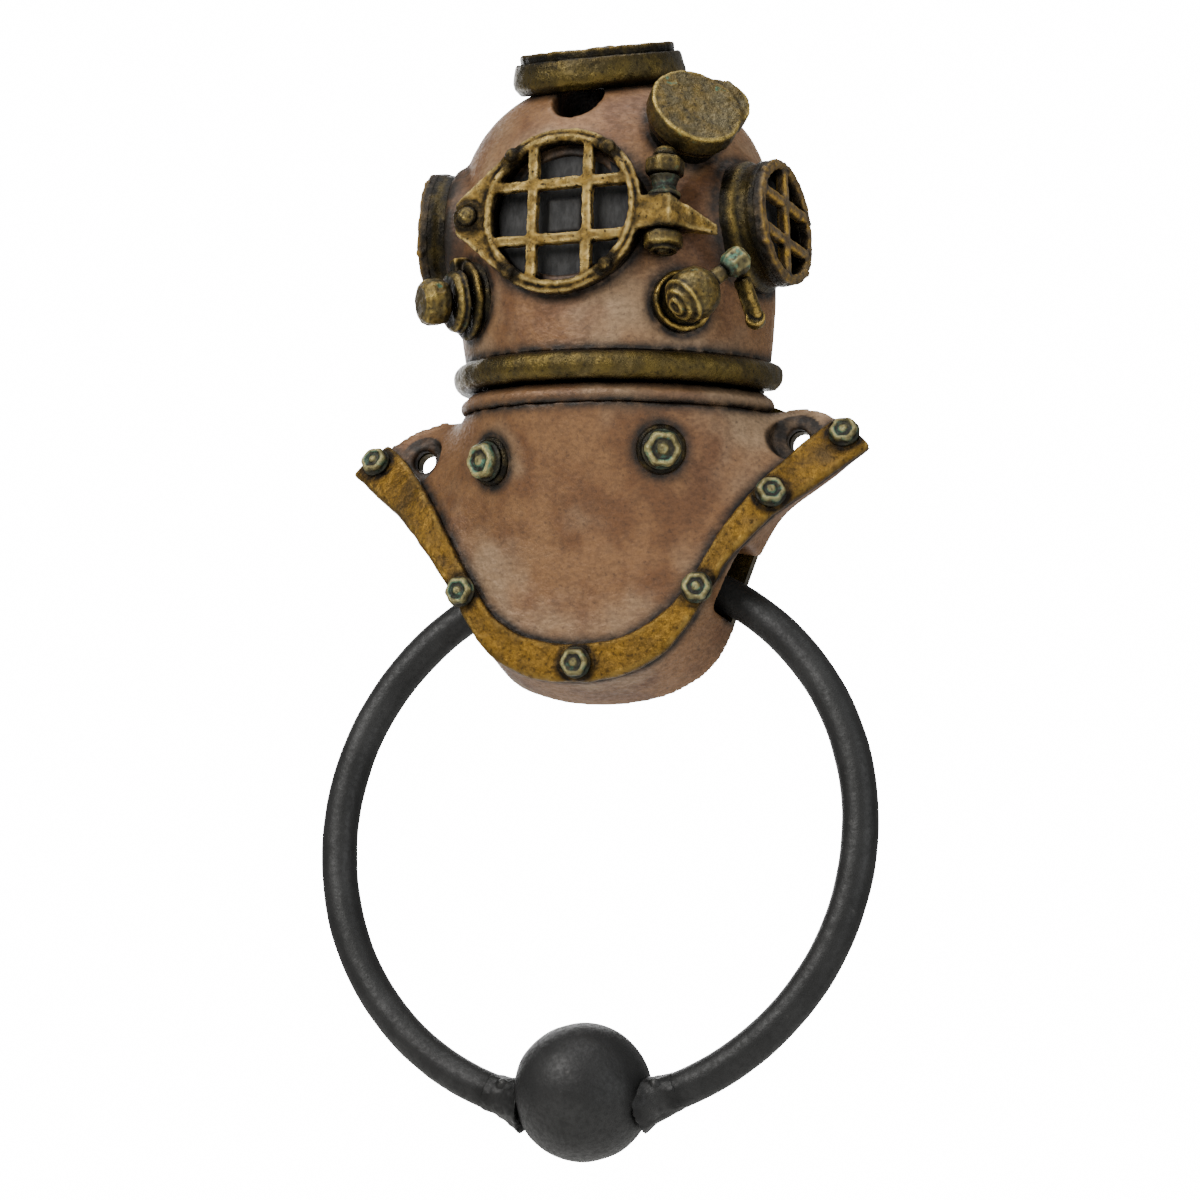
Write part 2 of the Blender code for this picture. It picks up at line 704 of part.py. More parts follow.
def make_window(name, place, sizes, mats, bonnet,
                outline=None, bars=(2, 2), spigot=None, base=None, guard_radius=None):
    """Barrel, pane and guard on a frame whose +Z is the way that the window faces.

    The guard's face is at z = 0 and the barrel runs back by its reach. The barrel goes through a
    port of its own size, or, with a spigot radius, it is saddled on the bonnet.
    """
    radius, opening, pitch, recess, reach = sizes
    face = -GUARD_T - GAP
    pane_low = face - recess - PANE_T
    seat = pane_low - GAP
    bore = (spigot if spigot else opening) - SPIGOT_WALL
    if spigot:
        barrel = add_object(name + "_barrel", cylinder(base, -reach, face, top_radius=radius),
                            place, mats["brass"])
        cut(barrel, bonnet_solid(GAP, bottom=-5.0))
        join(barrel, cylinder(spigot, -reach, seat - 0.6, 24), place)
        cut(barrel, cylinder(bore, -reach - 1.0, face, 24), place)
        cut(barrel, cylinder(opening, seat, 1.0, ROUND), place)
    else:
        profile = [(bore, -reach), (radius, -reach), (radius, face), (opening, face)]
        profile += [(opening, seat), (bore, seat)]
        barrel = add_object(name + "_barrel", turned(profile, ROUND), place, mats["brass"])
    cut(bonnet, cylinder((spigot or radius) + GAP, -reach - GAP, 2.0), place)
    finish(barrel)
    disc = cylinder(opening - GAP, pane_low, pane_low + PANE_T)
    pane = add_object(name + "_pane", disc, place, mats["pane"])
    finish(pane)
    plate = prism(outline, -GUARD_T, 0.0) if outline else cylinder(guard_radius or radius, -GUARD_T, 0.0)
    guard = add_object(name + "_guard", plate, place, mats["gold" if name == "front_window" else "brass"])
    cut(guard, guard_cells(opening, pitch, *bars), place)
    for piece in (barrel, pane, guard):
        cut(piece, depth_box(-80.0, 80.0, -60.0, BACK, -20.0, 110.0))
        finish(piece)
    return guard


def front_outline(radius):
    """The front guard's outline: a disc with a blunt tapered ear on the left and a lug on the right."""
    ear_tangent = math.degrees(math.acos(radius / math.hypot(EAR_END_X, EAR_HALF_H)))
    ear = math.degrees(math.atan2(EAR_HALF_H, EAR_END_X)) - ear_tangent
    lug_low, lug_high = LUG_Z - LUG_HALF_H, LUG_Z + LUG_HALF_H
    steps = 12
    points = []
    upper, lower = (math.degrees(math.asin(z / radius)) for z in (lug_high, lug_low))
    for start, end, corners in (
            (upper, ear, [(EAR_END_X, EAR_HALF_H), (EAR_END_X, -EAR_HALF_H)]),
            (-ear, lower, [(LUG_END_X, lug_low), (LUG_END_X, lug_high)])):
        for i in range(steps + 1):
            a = math.radians(start + (end - start) * i / steps)
            points.append((radius * math.cos(a), radius * math.sin(a)))
        points += corners
    return points


def make_front_window(mats, bonnet):
    wd, wz = BONNET_AXIS_DEPTH + BONNET_R + FRONT_STAND, FRONT_Z
    place = frame(at(0.0, wd, wz), facing(0.0, 0.0))
    sizes = (FRONT_R, FRONT_OPENING_R, BAR_PITCH, FRONT_RECESS, FRONT_REACH)
    guard = make_window("front_window", place, sizes, mats, bonnet, front_outline(FRONT_R + FRONT_LIP))
    lug_low, lug_high = wz + LUG_Z - LUG_HALF_H, wz + LUG_Z + LUG_HALF_H
    stations = [(LUG_START_X, wd - 0.1, wd - LUG_T, lug_low, lug_high),
                (LUG_END_X, wd - 0.1, wd - LUG_T, lug_low + 0.2, lug_high - 0.2),
                (ARM_END_X, wd - ARM_BACK + 0.9, wd - ARM_BACK, lug_low + 0.4, lug_low + 2.2)]
    lug = rows_solid([[at(x, front, low), at(x, front, high), at(x, back, high), at(x, back, low)]
                      for x, front, back, low, high in stations])
    join(guard, lug)
    pin_top, pin_bottom = wz + HINGE_PIN_TOP, wz + HINGE_PIN_BOTTOM
    pin_place = Matrix.Translation(at(HINGE_X, wd - HINGE_PIN_BACK, 0.0))
    cut(guard, cylinder(HINGE_PIN_D / 2 + GAP, pin_bottom - 2.0, pin_top + 2.0, MIDDLE), pin_place)
    ear = frame(at(EAR_X, wd, wz), facing(0.0, 0.0))
    cut(guard, cylinder(0.8 + GAP, -GUARD_T - 1.0, 1.0, SMALL), ear)
    rivet_ring = (FRONT_OPENING_R + FRONT_R + FRONT_LIP) / 2
    for number, angle in enumerate(RIVET_ANGLES, 1):
        a = math.radians(angle)
        spot = frame(at(rivet_ring * math.cos(a), wd, wz + rivet_ring * math.sin(a)), facing(0.0, 0.0))
        bore = cylinder(RIVET_SHANK_R + GAP, -GUARD_T - 1.0, 1.0, SMALL)
        cut(guard, bore, spot)
        profile = [(0.0, -GUARD_T + 0.2), (RIVET_SHANK_R, -GUARD_T + 0.2), (RIVET_SHANK_R, GAP)]
        profile += dome(RIVET_R, 0.9, GAP, 3)
        finish(add_object("front_rivet_%d" % number, turned(profile, SMALL), spot, mats["gold"]))
    finish(guard)
    profile = [(0.0, -GUARD_T - 1.5), (0.8, -GUARD_T - 1.5), (0.8, GAP)] + dome(EAR_BOLT_R, 1.5, GAP, 3)
    finish(add_object("front_ear_bolt", turned(profile, SMALL), ear, mats["verdigris"]))

    radius = HINGE_PIN_D / 2
    profile = [(0.0, pin_bottom), (radius * 0.7, pin_bottom), (radius, pin_bottom + 0.8)]
    profile += [(radius, pin_top - 1.6), (2.0, pin_top - 1.6)] + dome(2.0, 1.6, pin_top - 1.2, 3)
    finish(add_object("front_hinge_bolt", turned(profile, MIDDLE), pin_place, mats["brass"]))
    bore = cylinder(radius + GAP, -80.0, 80.0, MIDDLE)
    upper_z = pin_top - 1.6 - GAP - NUT_H
    nut = hexagon(NUT_AF, upper_z, upper_z + NUT_H)
    upper = add_object("front_hinge_nut_upper", nut, pin_place, mats["brass"])
    cut(upper, bore.copy(), pin_place)
    finish(upper)
    spool_top, spool_low = upper_z - GAP, lug_high + GAP
    half = (SPOOL_R - radius) * 0.35
    spool = [(radius + GAP, spool_low), (SPOOL_R, spool_low), (SPOOL_R - half, (spool_low + spool_top) / 2),
             (SPOOL_R - half, spool_top), (radius + GAP, spool_top)]
    finish(add_object("front_hinge_spool", turned(spool, MIDDLE), pin_place, mats["brass"]))
    lower_top = lug_low - GAP
    lower = add_object("front_hinge_nut_lower", hexagon(NUT_AF, lower_top - NUT_H, lower_top),
                       pin_place, mats["brass"])
    cut(lower, bore, pin_place)
    finish(lower)
    return guard


def make_side_windows(mats, bonnet):
    sizes = (SIDE_R, SIDE_OPENING_R, SIDE_BAR_PITCH, SIDE_RECESS, SIDE_REACH)
    for side, word in ((1.0, "right"), (-1.0, "left")):
        forward_turn, stand, z = SIDE_WINDOWS[word]
        place = frame(on_bonnet(side * (90.0 - forward_turn), stand, z), facing(side * SIDE_TURN, SIDE_RISE))
        make_window(word + "_window", place, sizes, mats, bonnet, bars=(1, 2))


def make_top_light(mats, bonnet):
    sizes = (TOP_R, TOP_OPENING_R, TOP_BAR_PITCH, TOP_RECESS, TOP_REACH)
    place = frame(at(*TOP_LIGHT, BONNET_CROWN_Z + TOP_STAND), facing(0.0, 90.0 - TOP_TILT))
    make_window("top_light", place, sizes, mats, bonnet, spigot=TOP_SPIGOT_R, base=TOP_BASE_R,
                guard_radius=TOP_GUARD_R)


def fitting_base(name, place, radius, spigot, spigot_length, mats, bonnet):
    """A round base whose face is at z = 0, saddled on the bonnet, with a spigot through it."""
    base = add_object(name, cylinder(radius, -14.0, 0.0, 20), place, mats["brass"])
    cut(base, bonnet_solid(GAP, bottom=-5.0))
    join(base, cylinder(spigot, -spigot_length, -0.6, MIDDLE), place)
    cut(bonnet, cylinder(spigot + GAP, -20.0, 1.0, MIDDLE), place)
    finish(base)


def make_transceiver_cup(mats, bonnet):
    place = frame(on_bonnet(*CUP_AT), facing(CUP_TURN, CUP_RISE))
    low = -CUP_H
    cup = add_object("transceiver_cup", cylinder(CUP_R, low, 0.0, 24), place, mats["brass"])
    lobe_x, lobe_y = CUP_LOBE_OFFSET
    lobe_place = place @ Matrix.Translation((lobe_x, lobe_y, 0.0))
    join(cup, cylinder(CUP_LOBE_R, low + 0.4, -0.2, MIDDLE), lobe_place)
    finish(cup)
    seat_place = place @ Matrix.Translation((0.0, 0.0, low - GAP))
    fitting_base("transceiver_seat", seat_place, CUP_SEAT_R, CUP_SPIGOT_R, CUP_SPIGOT_L, mats, bonnet)


def make_exhaust_valve(mats, bonnet):
    place = frame(on_bonnet(*EXHAUST_AT), facing(EXHAUST_TURN, EXHAUST_RISE))
    fitting_base("exhaust_flange", place, EXHAUST_FLANGE_R, EXHAUST_SPIGOT_R, EXHAUST_SPIGOT_L, mats, bonnet)
    low, mid = GAP, GAP + EXHAUST_BODY_H
    body = turned([(0.0, low), (EXHAUST_BODY_R, low), (EXHAUST_BODY_R, mid - 0.7),
                   (EXHAUST_BODY_R - 0.8, mid), (0.0, mid)], MIDDLE)
    finish(add_object("exhaust_body", body, place, mats["brass"]))
    low = mid + GAP
    high = low + EXHAUST_KNOB_H
    knob = turned([(0.0, low), (EXHAUST_KNOB_R * 0.8, low), (EXHAUST_KNOB_R, low + 1.0),
                   (EXHAUST_KNOB_R, high - 1.0), (EXHAUST_KNOB_R - 0.9, high), (0.0, high)], MIDDLE)
    finish(add_object("exhaust_knob", knob, place, mats["verdigris"]))


def rod(start, end, radius, facets=SMALL):
    """Closed cylinder between two points."""
    length = (end - start).length
    bm = cylinder(radius, 0.0, length, facets)
    bmesh.ops.transform(bm, matrix=frame(start, end - start), verts=bm.verts)
    return bm


def make_spitcock(mats, bonnet):
    normal = facing(COCK_TURN, COCK_RISE)
    base = on_bonnet(*COCK_AT)
    place = frame(base, normal)
    fitting_base("spitcock_seat", place, COCK_SEAT_R, COCK_SPIGOT_R, COCK_SPIGOT_L, mats, bonnet)
    centre = base + normal * (COCK_BALL_R + 0.4)
    ball_place = Matrix.Translation(centre)
    ball = add_object("spitcock_ball", sphere(COCK_BALL_R, 7, 14), ball_place, mats["verdigris"])
    cut(ball, cylinder(COCK_SEAT_R + 3.0, -8.0, GAP, MIDDLE), place)
    knob_centre = on_bonnet(*COCK_KNOB_AT)
    along = (knob_centre - centre).normalized()
    join(ball, rod(centre, knob_centre - along * (COCK_KNOB_R + 0.6), COCK_STEM_R))
    finish(ball)
    profile = [(0.0, -COCK_KNOB_R - 0.2), (COCK_STEM_R, -COCK_KNOB_R - 0.2), (COCK_KNOB_R, -1.4),
               (COCK_KNOB_R, 1.4), (COCK_KNOB_R * 0.6, 2.4), (0.0, 2.6)]
    finish(add_object("spitcock_knob", turned(profile, SMALL), frame(knob_centre, along), mats["brass"]))
    tip = on_bonnet(*LEVER_AT)
    down = tip - knob_centre
    start = knob_centre + down.normalized() * (COCK_KNOB_R + 0.7)
    lever = box(-LEVER_W / 2, LEVER_W / 2, -LEVER_T / 2, LEVER_T / 2, 0.0, (tip - start).length)
    finish(add_object("spitcock_lever", lever, frame(start, down), mats["brass"]))


def sphere(radius, rings, segments):
    profile = [(radius * math.sin(math.pi * i / rings), -radius * math.cos(math.pi * i / rings))
               for i in range(1, rings)]
    return turned([(0.0, -radius)] + profile + [(0.0, radius)], segments)


def ring_tilt():
    """Forward lean of the resting ring, where the ball touches the door."""
    return math.asin((BALL_R + GAP - HINGE_DEPTH) / (2.0 * RING_R - BALL_LIFT))


def ring_place():
    """Frame at the ring's hinge: +X along the hinge, +Z up the resting ring's plane."""
    return Matrix.Translation(at(RING_X, HINGE_DEPTH, HINGE_Z)) @ Matrix.Rotation(-ring_tilt(), 4, "X")


def ring_point(degrees):
    """Centreline of the ring in its own frame, at an angle from straight down."""
    a = math.radians(degrees)
    return Vector((RING_R * math.sin(a), 0.0, -RING_R * (1.0 + math.cos(a))))


def arc_rod(radius, from_angle, to_angle, steps, facets):
    """Rod along the ring's centreline; angles in degrees from straight down, in the ring's frame."""
    rows = []
    for i in range(steps + 1):
        middle = ring_point(from_angle + (to_angle - from_angle) * i / steps)
        out = (middle + Vector((0.0, 0.0, RING_R))).normalized()
        rows.append([middle + radius * (out * math.cos(math.tau * k / facets)
                                        + Vector((0.0, 1.0, 0.0)) * math.sin(math.tau * k / facets))
                     for k in range(facets)])
    return rows_solid(rows)


def ball_angle(side, ball):
    """Angle at which the ring's centreline leaves the ball on one side."""
    angle = 0.0
    while (ring_point(side * angle) - ball).length < BALL_R + GAP:
        angle += 0.25
    return angle


def make_ring(mats):
    place = ring_place()
    pivot = at(0.0, HINGE_DEPTH, HINGE_Z)
    ball = Vector((BALL_SHIFT, 0.0, BALL_LIFT - 2.0 * RING_R))
    ball_place = place @ Matrix.Translation(ball)
    bead_angle = math.degrees(BEAD_W / RING_R)
    gap_angle = math.degrees(GAP / RING_R)
    right, left = ball_angle(1.0, ball), ball_angle(-1.0, ball)
    ends = (right + bead_angle + gap_angle, 360.0 - left - bead_angle - gap_angle)
    ring = add_object("knocker_ring", arc_rod(ROD_D / 2, *ends, 52, 10), place, mats["iron"])
    set_origin(finish(ring), pivot)
    striker = add_object("striker_ball", sphere(BALL_R, 10, 20), ball_place, mats["iron"])
    set_origin(finish(striker), pivot)
    for side, start, word in ((1.0, right, "right"), (-1.0, left, "left")):
        bead = add_object("weld_bead_" + word,
                          arc_rod(ROD_D / 2 + 0.5, side * (start - 4.0), side * (start + bead_angle), 3, 10),
                          place, mats["iron"])
        cut(bead, sphere(BALL_R + GAP, 10, 20), ball_place)
        set_origin(finish(bead), pivot)


def plate_half(side):
    """Points (x, z) of the back plate's outline on one side, from the bottom up to the crown."""
    points = []
    for i in range(1, 12):
        point = breast_back(side * i / 11 * 0.94, 1.0)
        points.append((point.x - side * PLATE_INSET, point.z + PLATE_INSET))
    for v in (0.85, 0.65, 0.45, 0.25):
        point = breast_back(side, v)
        points.append((point.x - side * 0.3 * PLATE_INSET, point.z - PLATE_INSET))
    heights = [NECK_Z + 1.0, NECK_Z + 6.0, NECK_Z + 12.0]
    heights += [26.0 + (BONNET_CROWN_Z - 4.0 - 26.0) * math.sin(math.pi / 2 * i / 7) for i in range(8)]
    for z in heights:
        reach = min(bonnet_radius(z), BONNET_NECK_R + z - NECK_Z) - PLATE_INSET
        points.append((bonnet_lean(z) + side * reach, z))
    return points


def plate_outline():
    """Outline of the back plate, just inside the casting's: (x, z) points, anticlockwise."""
    bottom = breast_back(0.0, 1.0)
    return [(bottom.x, bottom.z + PLATE_INSET)] + plate_half(1.0) + plate_half(-1.0)[::-1]


def make_back_plate(mats, bonnet, casting):
    outline = plate_outline()
    place = Matrix(((1, 0, 0, 0), (0, 0, -1, 0), (0, 1, 0, 0), (0, 0, 0, 1)))
    plate = add_object("back_plate", prism(outline, 0.0, PLATE_T), place, mats["brass"])
    for x, z in ((-SHOULDER_SCREW_X, 0.0), (SHOULDER_SCREW_X, 0.0), (0.0, TOP_SCREW_Z)):
        cut(plate, cylinder(SCREW_BORE_D / 2, -1.0, PLATE_T + 1.0, MIDDLE), forward(x, z))
    radius, head = PLATE_SCREW_D / 2, PLATE_SCREW_HEAD_D / 2
    for number, (x, z) in enumerate(PLATE_SCREWS, 1):
        spot = forward(x, z)
        seat = PLATE_SCREW_HEAD_H + GAP
        cut(plate, stepped_bore(radius + GAP, head + GAP, seat, -1.0, PLATE_T + 1.0), spot)
        body = bonnet if z > NECK_Z else casting
        cut(body, cylinder(radius + GAP / 2, -1.0, PLATE_SCREW_L + 1.0, MIDDLE), spot)
        profile = [(0.0, GAP / 2), (head, GAP / 2), (head, PLATE_SCREW_HEAD_H), (radius, PLATE_SCREW_HEAD_H),
                   (radius, PLATE_SCREW_L), (0.0, PLATE_SCREW_L)]
        finish(add_object("back_plate_screw_%d" % number, turned(profile, MIDDLE), spot, mats["zinc"]))
    finish(plate)


def main():
    for obj in list(bpy.data.objects):
        bpy.data.objects.remove(obj)
    mats = make_materials()
    bonnet = make_bonnet(mats)
    make_front_window(mats, bonnet)
    make_side_windows(mats, bonnet)
    make_top_light(mats, bonnet)
    make_transceiver_cup(mats, bonnet)
    make_exhaust_valve(mats, bonnet)
    make_spitcock(mats, bonnet)
    screw_hole(bonnet, 0.0, TOP_SCREW_Z)
    make_neck_rings(mats)
    breastplate = make_breastplate(mats)
    strap = make_strap(mats)
    make_brail_bolts(mats, strap, breastplate)
    make_chest_studs(mats, breastplate)
    make_back_plate(mats, bonnet, breastplate)
    make_ring(mats)
    for obj in (bonnet, breastplate, strap):
        finish(obj)


main()
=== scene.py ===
"""Diving-helmet door knocker: the visible pieces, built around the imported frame.

Lengths are in millimetres until settle() turns a finished piece into metres.
The back face is the plane y = 0, the helmet faces -Y, and +Z is up.
A point is given as (x, depth, z), where depth is its distance in front of the back face.
"""
import math

import bpy
import numpy as np
from mathutils import Matrix, Vector, noise
from mathutils.bvhtree import BVHTree


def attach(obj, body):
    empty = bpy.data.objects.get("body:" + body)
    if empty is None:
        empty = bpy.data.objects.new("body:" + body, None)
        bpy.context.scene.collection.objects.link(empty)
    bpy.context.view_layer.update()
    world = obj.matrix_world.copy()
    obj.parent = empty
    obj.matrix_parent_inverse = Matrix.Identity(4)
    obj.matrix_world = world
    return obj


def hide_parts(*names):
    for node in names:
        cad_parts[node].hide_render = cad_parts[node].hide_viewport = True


bl_info = {
    "name": "Diving helmet door knocker",
    "version": (1, 0, 0),
    "blender": (4, 5, 0),
    "location": "View3D > Sidebar > Knocker",
    "description": "Builds the cast helmet, its fittings and the iron ring around the packed frame",
    "category": "Object",
}

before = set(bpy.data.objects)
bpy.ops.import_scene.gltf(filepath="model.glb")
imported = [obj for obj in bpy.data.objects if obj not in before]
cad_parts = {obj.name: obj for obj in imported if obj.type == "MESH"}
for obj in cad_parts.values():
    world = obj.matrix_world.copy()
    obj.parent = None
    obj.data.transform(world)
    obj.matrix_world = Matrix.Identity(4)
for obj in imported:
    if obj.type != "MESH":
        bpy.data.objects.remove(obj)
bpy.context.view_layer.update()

MM = 0.001
GAP = 0.3                    # clearance between pieces that touch or seat
BACK = 2.7                   # depth of the casting's flat back

# Bonnet
BONNET_R = 32.8
BONNET_WALL = 3.0
BONNET_AXIS_DEPTH = 3.0
WAIST_Z = 40.0
CROWN_Z = 75.6
BONNET_NECK_R = 29.2
BONNET_LEAN = 1.9
BONNET_POWER = 2.55

# Neck
NECK_X, NECK_AXIS_DEPTH, NECK_Z = 1.5, 0.8, 8.0
NECK_PITCH, NECK_ROLL = 9.0, 2.0
NECK_BORE_R = 27.0
SEAT_R, SEAT_H = 31.4, 3.6
BEAD_R, BEAD_H = 33.7, 5.8

# Breastplate rim, right half, from the bottom middle to the tip: (x, depth, z)
RIM = [(0.0, 18.0, -49.0), (10.0, 18.0, -47.6), (18.0, 18.0, -43.0), (24.0, 17.8, -35.0),
       (29.6, 17.4, -26.0), (36.5, 14.0, -17.6), (44.5, 9.0, -10.2), (53.6, 5.4, -2.6)]
RIM_BACK = [(0.0, -51.0), (12.0, -49.4), (20.5, -45.0), (25.6, -37.0),
            (29.6, -24.5), (35.0, -14.6), (43.5, -8.4), (52.0, -2.2)]
RIM_BACK_X = 0.8
CHEST_SWELL = -2.0
SHOULDER_RISE = 3.8
STRAP_W, STRAP_T = 7.6, 1.6

# Ring and ball
ROD_D = 7.0
RING_R, RING_X = 52.6, 0.9
HINGE_DEPTH, HINGE_Z = 6.6, -24.4
BALL_R, BALL_SHIFT, BALL_LIFT = 13.0, 0.6, 3.2
SWING = 30.0
WELD_LENGTH = 4.6            # along the ring, from the ball's skin

# Fixing screws
SHOULDER_SCREW_X, TOP_SCREW_Z = 39.0, 65.0
SCREW_HEAD_D, SCREW_BORE_D, HEAD_SEAT, BOSS_WALL = 10.0, 4.6, 5.5, 1.6

# Windows
GUARD_T, BAR_W = 2.0, 2.0
PAD_LENGTH = {"right": 8.5, "left": 5.5}     # how far the copper pad ends behind a side guard's face
FRONT_DEPTH, FRONT_Z, FRONT_R, FRONT_OPENING_R, FRONT_PITCH = 38.0, 39.2, 15.9, 14.0, 11.0
SIDE_R, SIDE_OPENING_R, SIDE_PITCH, SIDE_TURN, SIDE_RISE = 12.4, 10.4, 7.6, 82.0, 3.0
SIDE_WINDOWS = {"right": (1.0, 7.5, 41.4), "left": (-1.0, 4.5, 44.9)}
SIDE_FORWARD = 16.0
TOP_AT = (-0.6, 16.8, 80.0)
TOP_R, TOP_BASE_R, TOP_OPENING_R, TOP_TILT, TOP_PITCH, TOP_GUARD_R = 16.4, 17.4, 13.2, 22.0, 9.6, 15.4

# Fittings: turn, stand-off from the bonnet, height; then the way that they face (turn, rise)
CUP_AT, CUP_FACING, CUP_R, CUP_H = (42.2, 7.9, 60.6), (39.0, 24.0), 9.2, 4.2
EXHAUST_AT, EXHAUST_FACING = (-47.6, 1.9, 26.3), (-48.0, -10.0)
COCK_AT, COCK_FACING, COCK_BALL_R = (39.2, 2.1, 22.2), (36.0, -4.0), 5.1
COCK_KNOB_AT, LEVER_AT = (50.2, 9.2, 28.8), (58.0, 8.6, 19.0)
BRAIL_BOLTS = {"left_tip": -0.955, "left_lower": -0.44, "bottom": 0.0,
               "right_lower": 0.42, "right_upper": 0.72, "right_tip": 0.965}

# Camera
CAMERA_AIM = (-2.5, 0.0, -29.0)
CAMERA_TURN, CAMERA_RISE, CAMERA_ROLL = 19.0, -12.0, 1.6
CAMERA_DISTANCE, CAMERA_LENS = 633.0, 96.0

FOLD_GAIN = 2.4              # how strongly a fold in the surface counts as a hollow or an edge
PIECES = []                  # finished pieces, for the painted shade laid between neighbours


# ------------------------------------------------------------------ places

def at(x, depth, z):
    """A point in the knocker's frame, in millimetres."""
    return Vector((x, -depth, z))


def facing(turn, rise):
    """Unit vector out of the bonnet; turn 0 is straight ahead, + to the right."""
    t, r = math.radians(turn), math.radians(rise)
    return Vector((math.sin(t) * math.cos(r), -math.cos(t) * math.cos(r), math.sin(r)))


def placed(origin, normal):
    """Matrix whose +Z is the normal and whose +Y is as near as may be to up."""
    z = normal.normalized()
    up = Vector((0.0, 0.0, 1.0)) if abs(z.z) < 0.99 else Vector((0.0, -1.0, 0.0))
    x = up.cross(z).normalized()
    turn = Matrix((x, z.cross(x), z)).transposed().to_4x4()
    return Matrix.Translation(origin) @ turn


def bonnet_radius(z, offset=0.0):
    radius = BONNET_R + offset
    if z >= WAIST_Z:
        share = min((z - WAIST_Z) / (CROWN_Z - WAIST_Z + offset), 1.0)
        return radius * (1.0 - share ** BONNET_POWER) ** (1.0 / BONNET_POWER)
    share = (WAIST_Z - z) / (WAIST_Z - NECK_Z)
    return radius - (BONNET_R - BONNET_NECK_R) * share ** 2


def bonnet_lean(z):
    """Sideways shift of the bonnet's axis below the waist."""
    share = min(max((WAIST_Z - z) / (WAIST_Z - NECK_Z), 0.0), 1.0)
    return BONNET_LEAN * (1.0 - (1.0 - share) ** 2)


def on_bonnet(turn, stand, z):
    """Point a stand-off outside the bonnet at a turn and a height."""
    t, reach = math.radians(turn), bonnet_radius(z) + stand
    return at(bonnet_lean(z) + reach * math.sin(t), BONNET_AXIS_DEPTH + reach * math.cos(t), z)


def neck_place():
    roll = Matrix.Rotation(math.radians(NECK_ROLL), 4, "Y")
    turn = roll @ Matrix.Rotation(math.radians(NECK_PITCH), 4, "X")
    return Matrix.Translation(at(NECK_X, NECK_AXIS_DEPTH, NECK_Z)) @ turn


def smooth_path(points, t):
    """Catmull-Rom curve through the points at t from 0 to 1."""
    spans = len(points) - 1
    i = min(int(min(max(t, 0.0), 1.0) * spans), spans - 1)
    u = min(max(t, 0.0), 1.0) * spans - i
    p = [Vector(points[min(max(k, 0), spans)]) for k in (i - 1, i, i + 1, i + 2)]
    if i == 0:
        p[0] = Vector((-p[2].x, *p[2][1:]))
    return 0.5 * (2.0 * p[1] + (p[2] - p[0]) * u + (2.0 * p[0] - 5.0 * p[1] + 4.0 * p[2] - p[3]) * u ** 2
                  + (3.0 * p[1] - p[0] - 3.0 * p[2] + p[3]) * u ** 3)


def rim(s, back=False):
    """Point of the breastplate's rim for s from -1 (left tip) to 1 (right tip)."""
    if back:
        x, z = smooth_path([Vector((x, z, 0.0)) for x, z in RIM_BACK], abs(s)).xy
        return at(math.copysign(x, s) + RIM_BACK_X, BACK, z)
    x, depth, z = smooth_path(RIM, abs(s))
    return at(math.copysign(x, s), depth, z)


def neck_edge(s):
    """Point of the breastplate's neck for s from -1 to 1."""
    angle = math.pi / 2 * s
    place = neck_place()
    normal = place.to_3x3() @ Vector((0.0, 0.0, 1.0))
    base = place.translation - normal * GAP
    depth = NECK_AXIS_DEPTH + SEAT_R * math.cos(angle)
    point = at(NECK_X + SEAT_R * math.sin(angle), max(depth, BACK), 0.0)
    point.z = base.z - (normal.x * (point.x - base.x) + normal.y * (point.y - base.y)) / normal.z
    return point


def shoulder_arch(s, v):
    return SHOULDER_RISE * 4.0 * v * (1.0 - v) * s ** 6


def breast_point(s, v):
    """Point of the breastplate's front, v = 0 at the neck and 1 at the rim."""
    point = neck_edge(s).lerp(rim(s), v)
    point.y -= CHEST_SWELL * 4.0 * v * (1.0 - v) * (1.0 - s * s)
    point.z += shoulder_arch(s, v)
    return point


def breast_back(s, v):
    low, high = neck_edge(-1.0).z, neck_edge(1.0).z
    neck = at(neck_edge(s).x, BACK, low + (high - low) * (1.0 + s) / 2.0)
    point = neck.lerp(rim(s, back=True), v)
    point.z += shoulder_arch(s, v)
    return point


def breast_normal(s, v):
    """Outward unit normal of the breastplate's front."""
    s0, s1 = max(s - 0.01, -1.0), min(s + 0.01, 1.0)
    v0, v1 = max(v - 0.01, 0.0), min(v + 0.01, 1.0)
    normal = (breast_point(s1, v) - breast_point(s0, v)).cross(breast_point(s, v0) - breast_point(s, v1))
    normal.normalize()
    return normal if normal.y < 0.0 else -normal


def strap_start(s):
    """v of the strap's inner edge."""
    return 1.0 - STRAP_W / (rim(s) - neck_edge(s)).length


def ring_place():
    tilt = math.asin((BALL_R + GAP - HINGE_DEPTH) / (2.0 * RING_R - BALL_LIFT))
    return Matrix.Translation(at(RING_X, HINGE_DEPTH, HINGE_Z)) @ Matrix.Rotation(-tilt, 4, "X")


# ------------------------------------------------------------- mesh tools

def choose(obj):
    """Deselect all, then make one object selected and active."""
    if bpy.context.object and bpy.context.object.mode != "OBJECT":
        bpy.ops.object.mode_set(mode="OBJECT")
    bpy.ops.object.select_all(action="DESELECT")
    obj.select_set(True)
    bpy.context.view_layer.objects.active = obj


def new_object(name, verts, edges, faces):
    mesh = bpy.data.meshes.new(name)
    mesh.from_pydata(verts, edges, faces)
    obj = bpy.data.objects.new(name, mesh)
    bpy.context.scene.collection.objects.link(obj)
    choose(obj)
    return obj


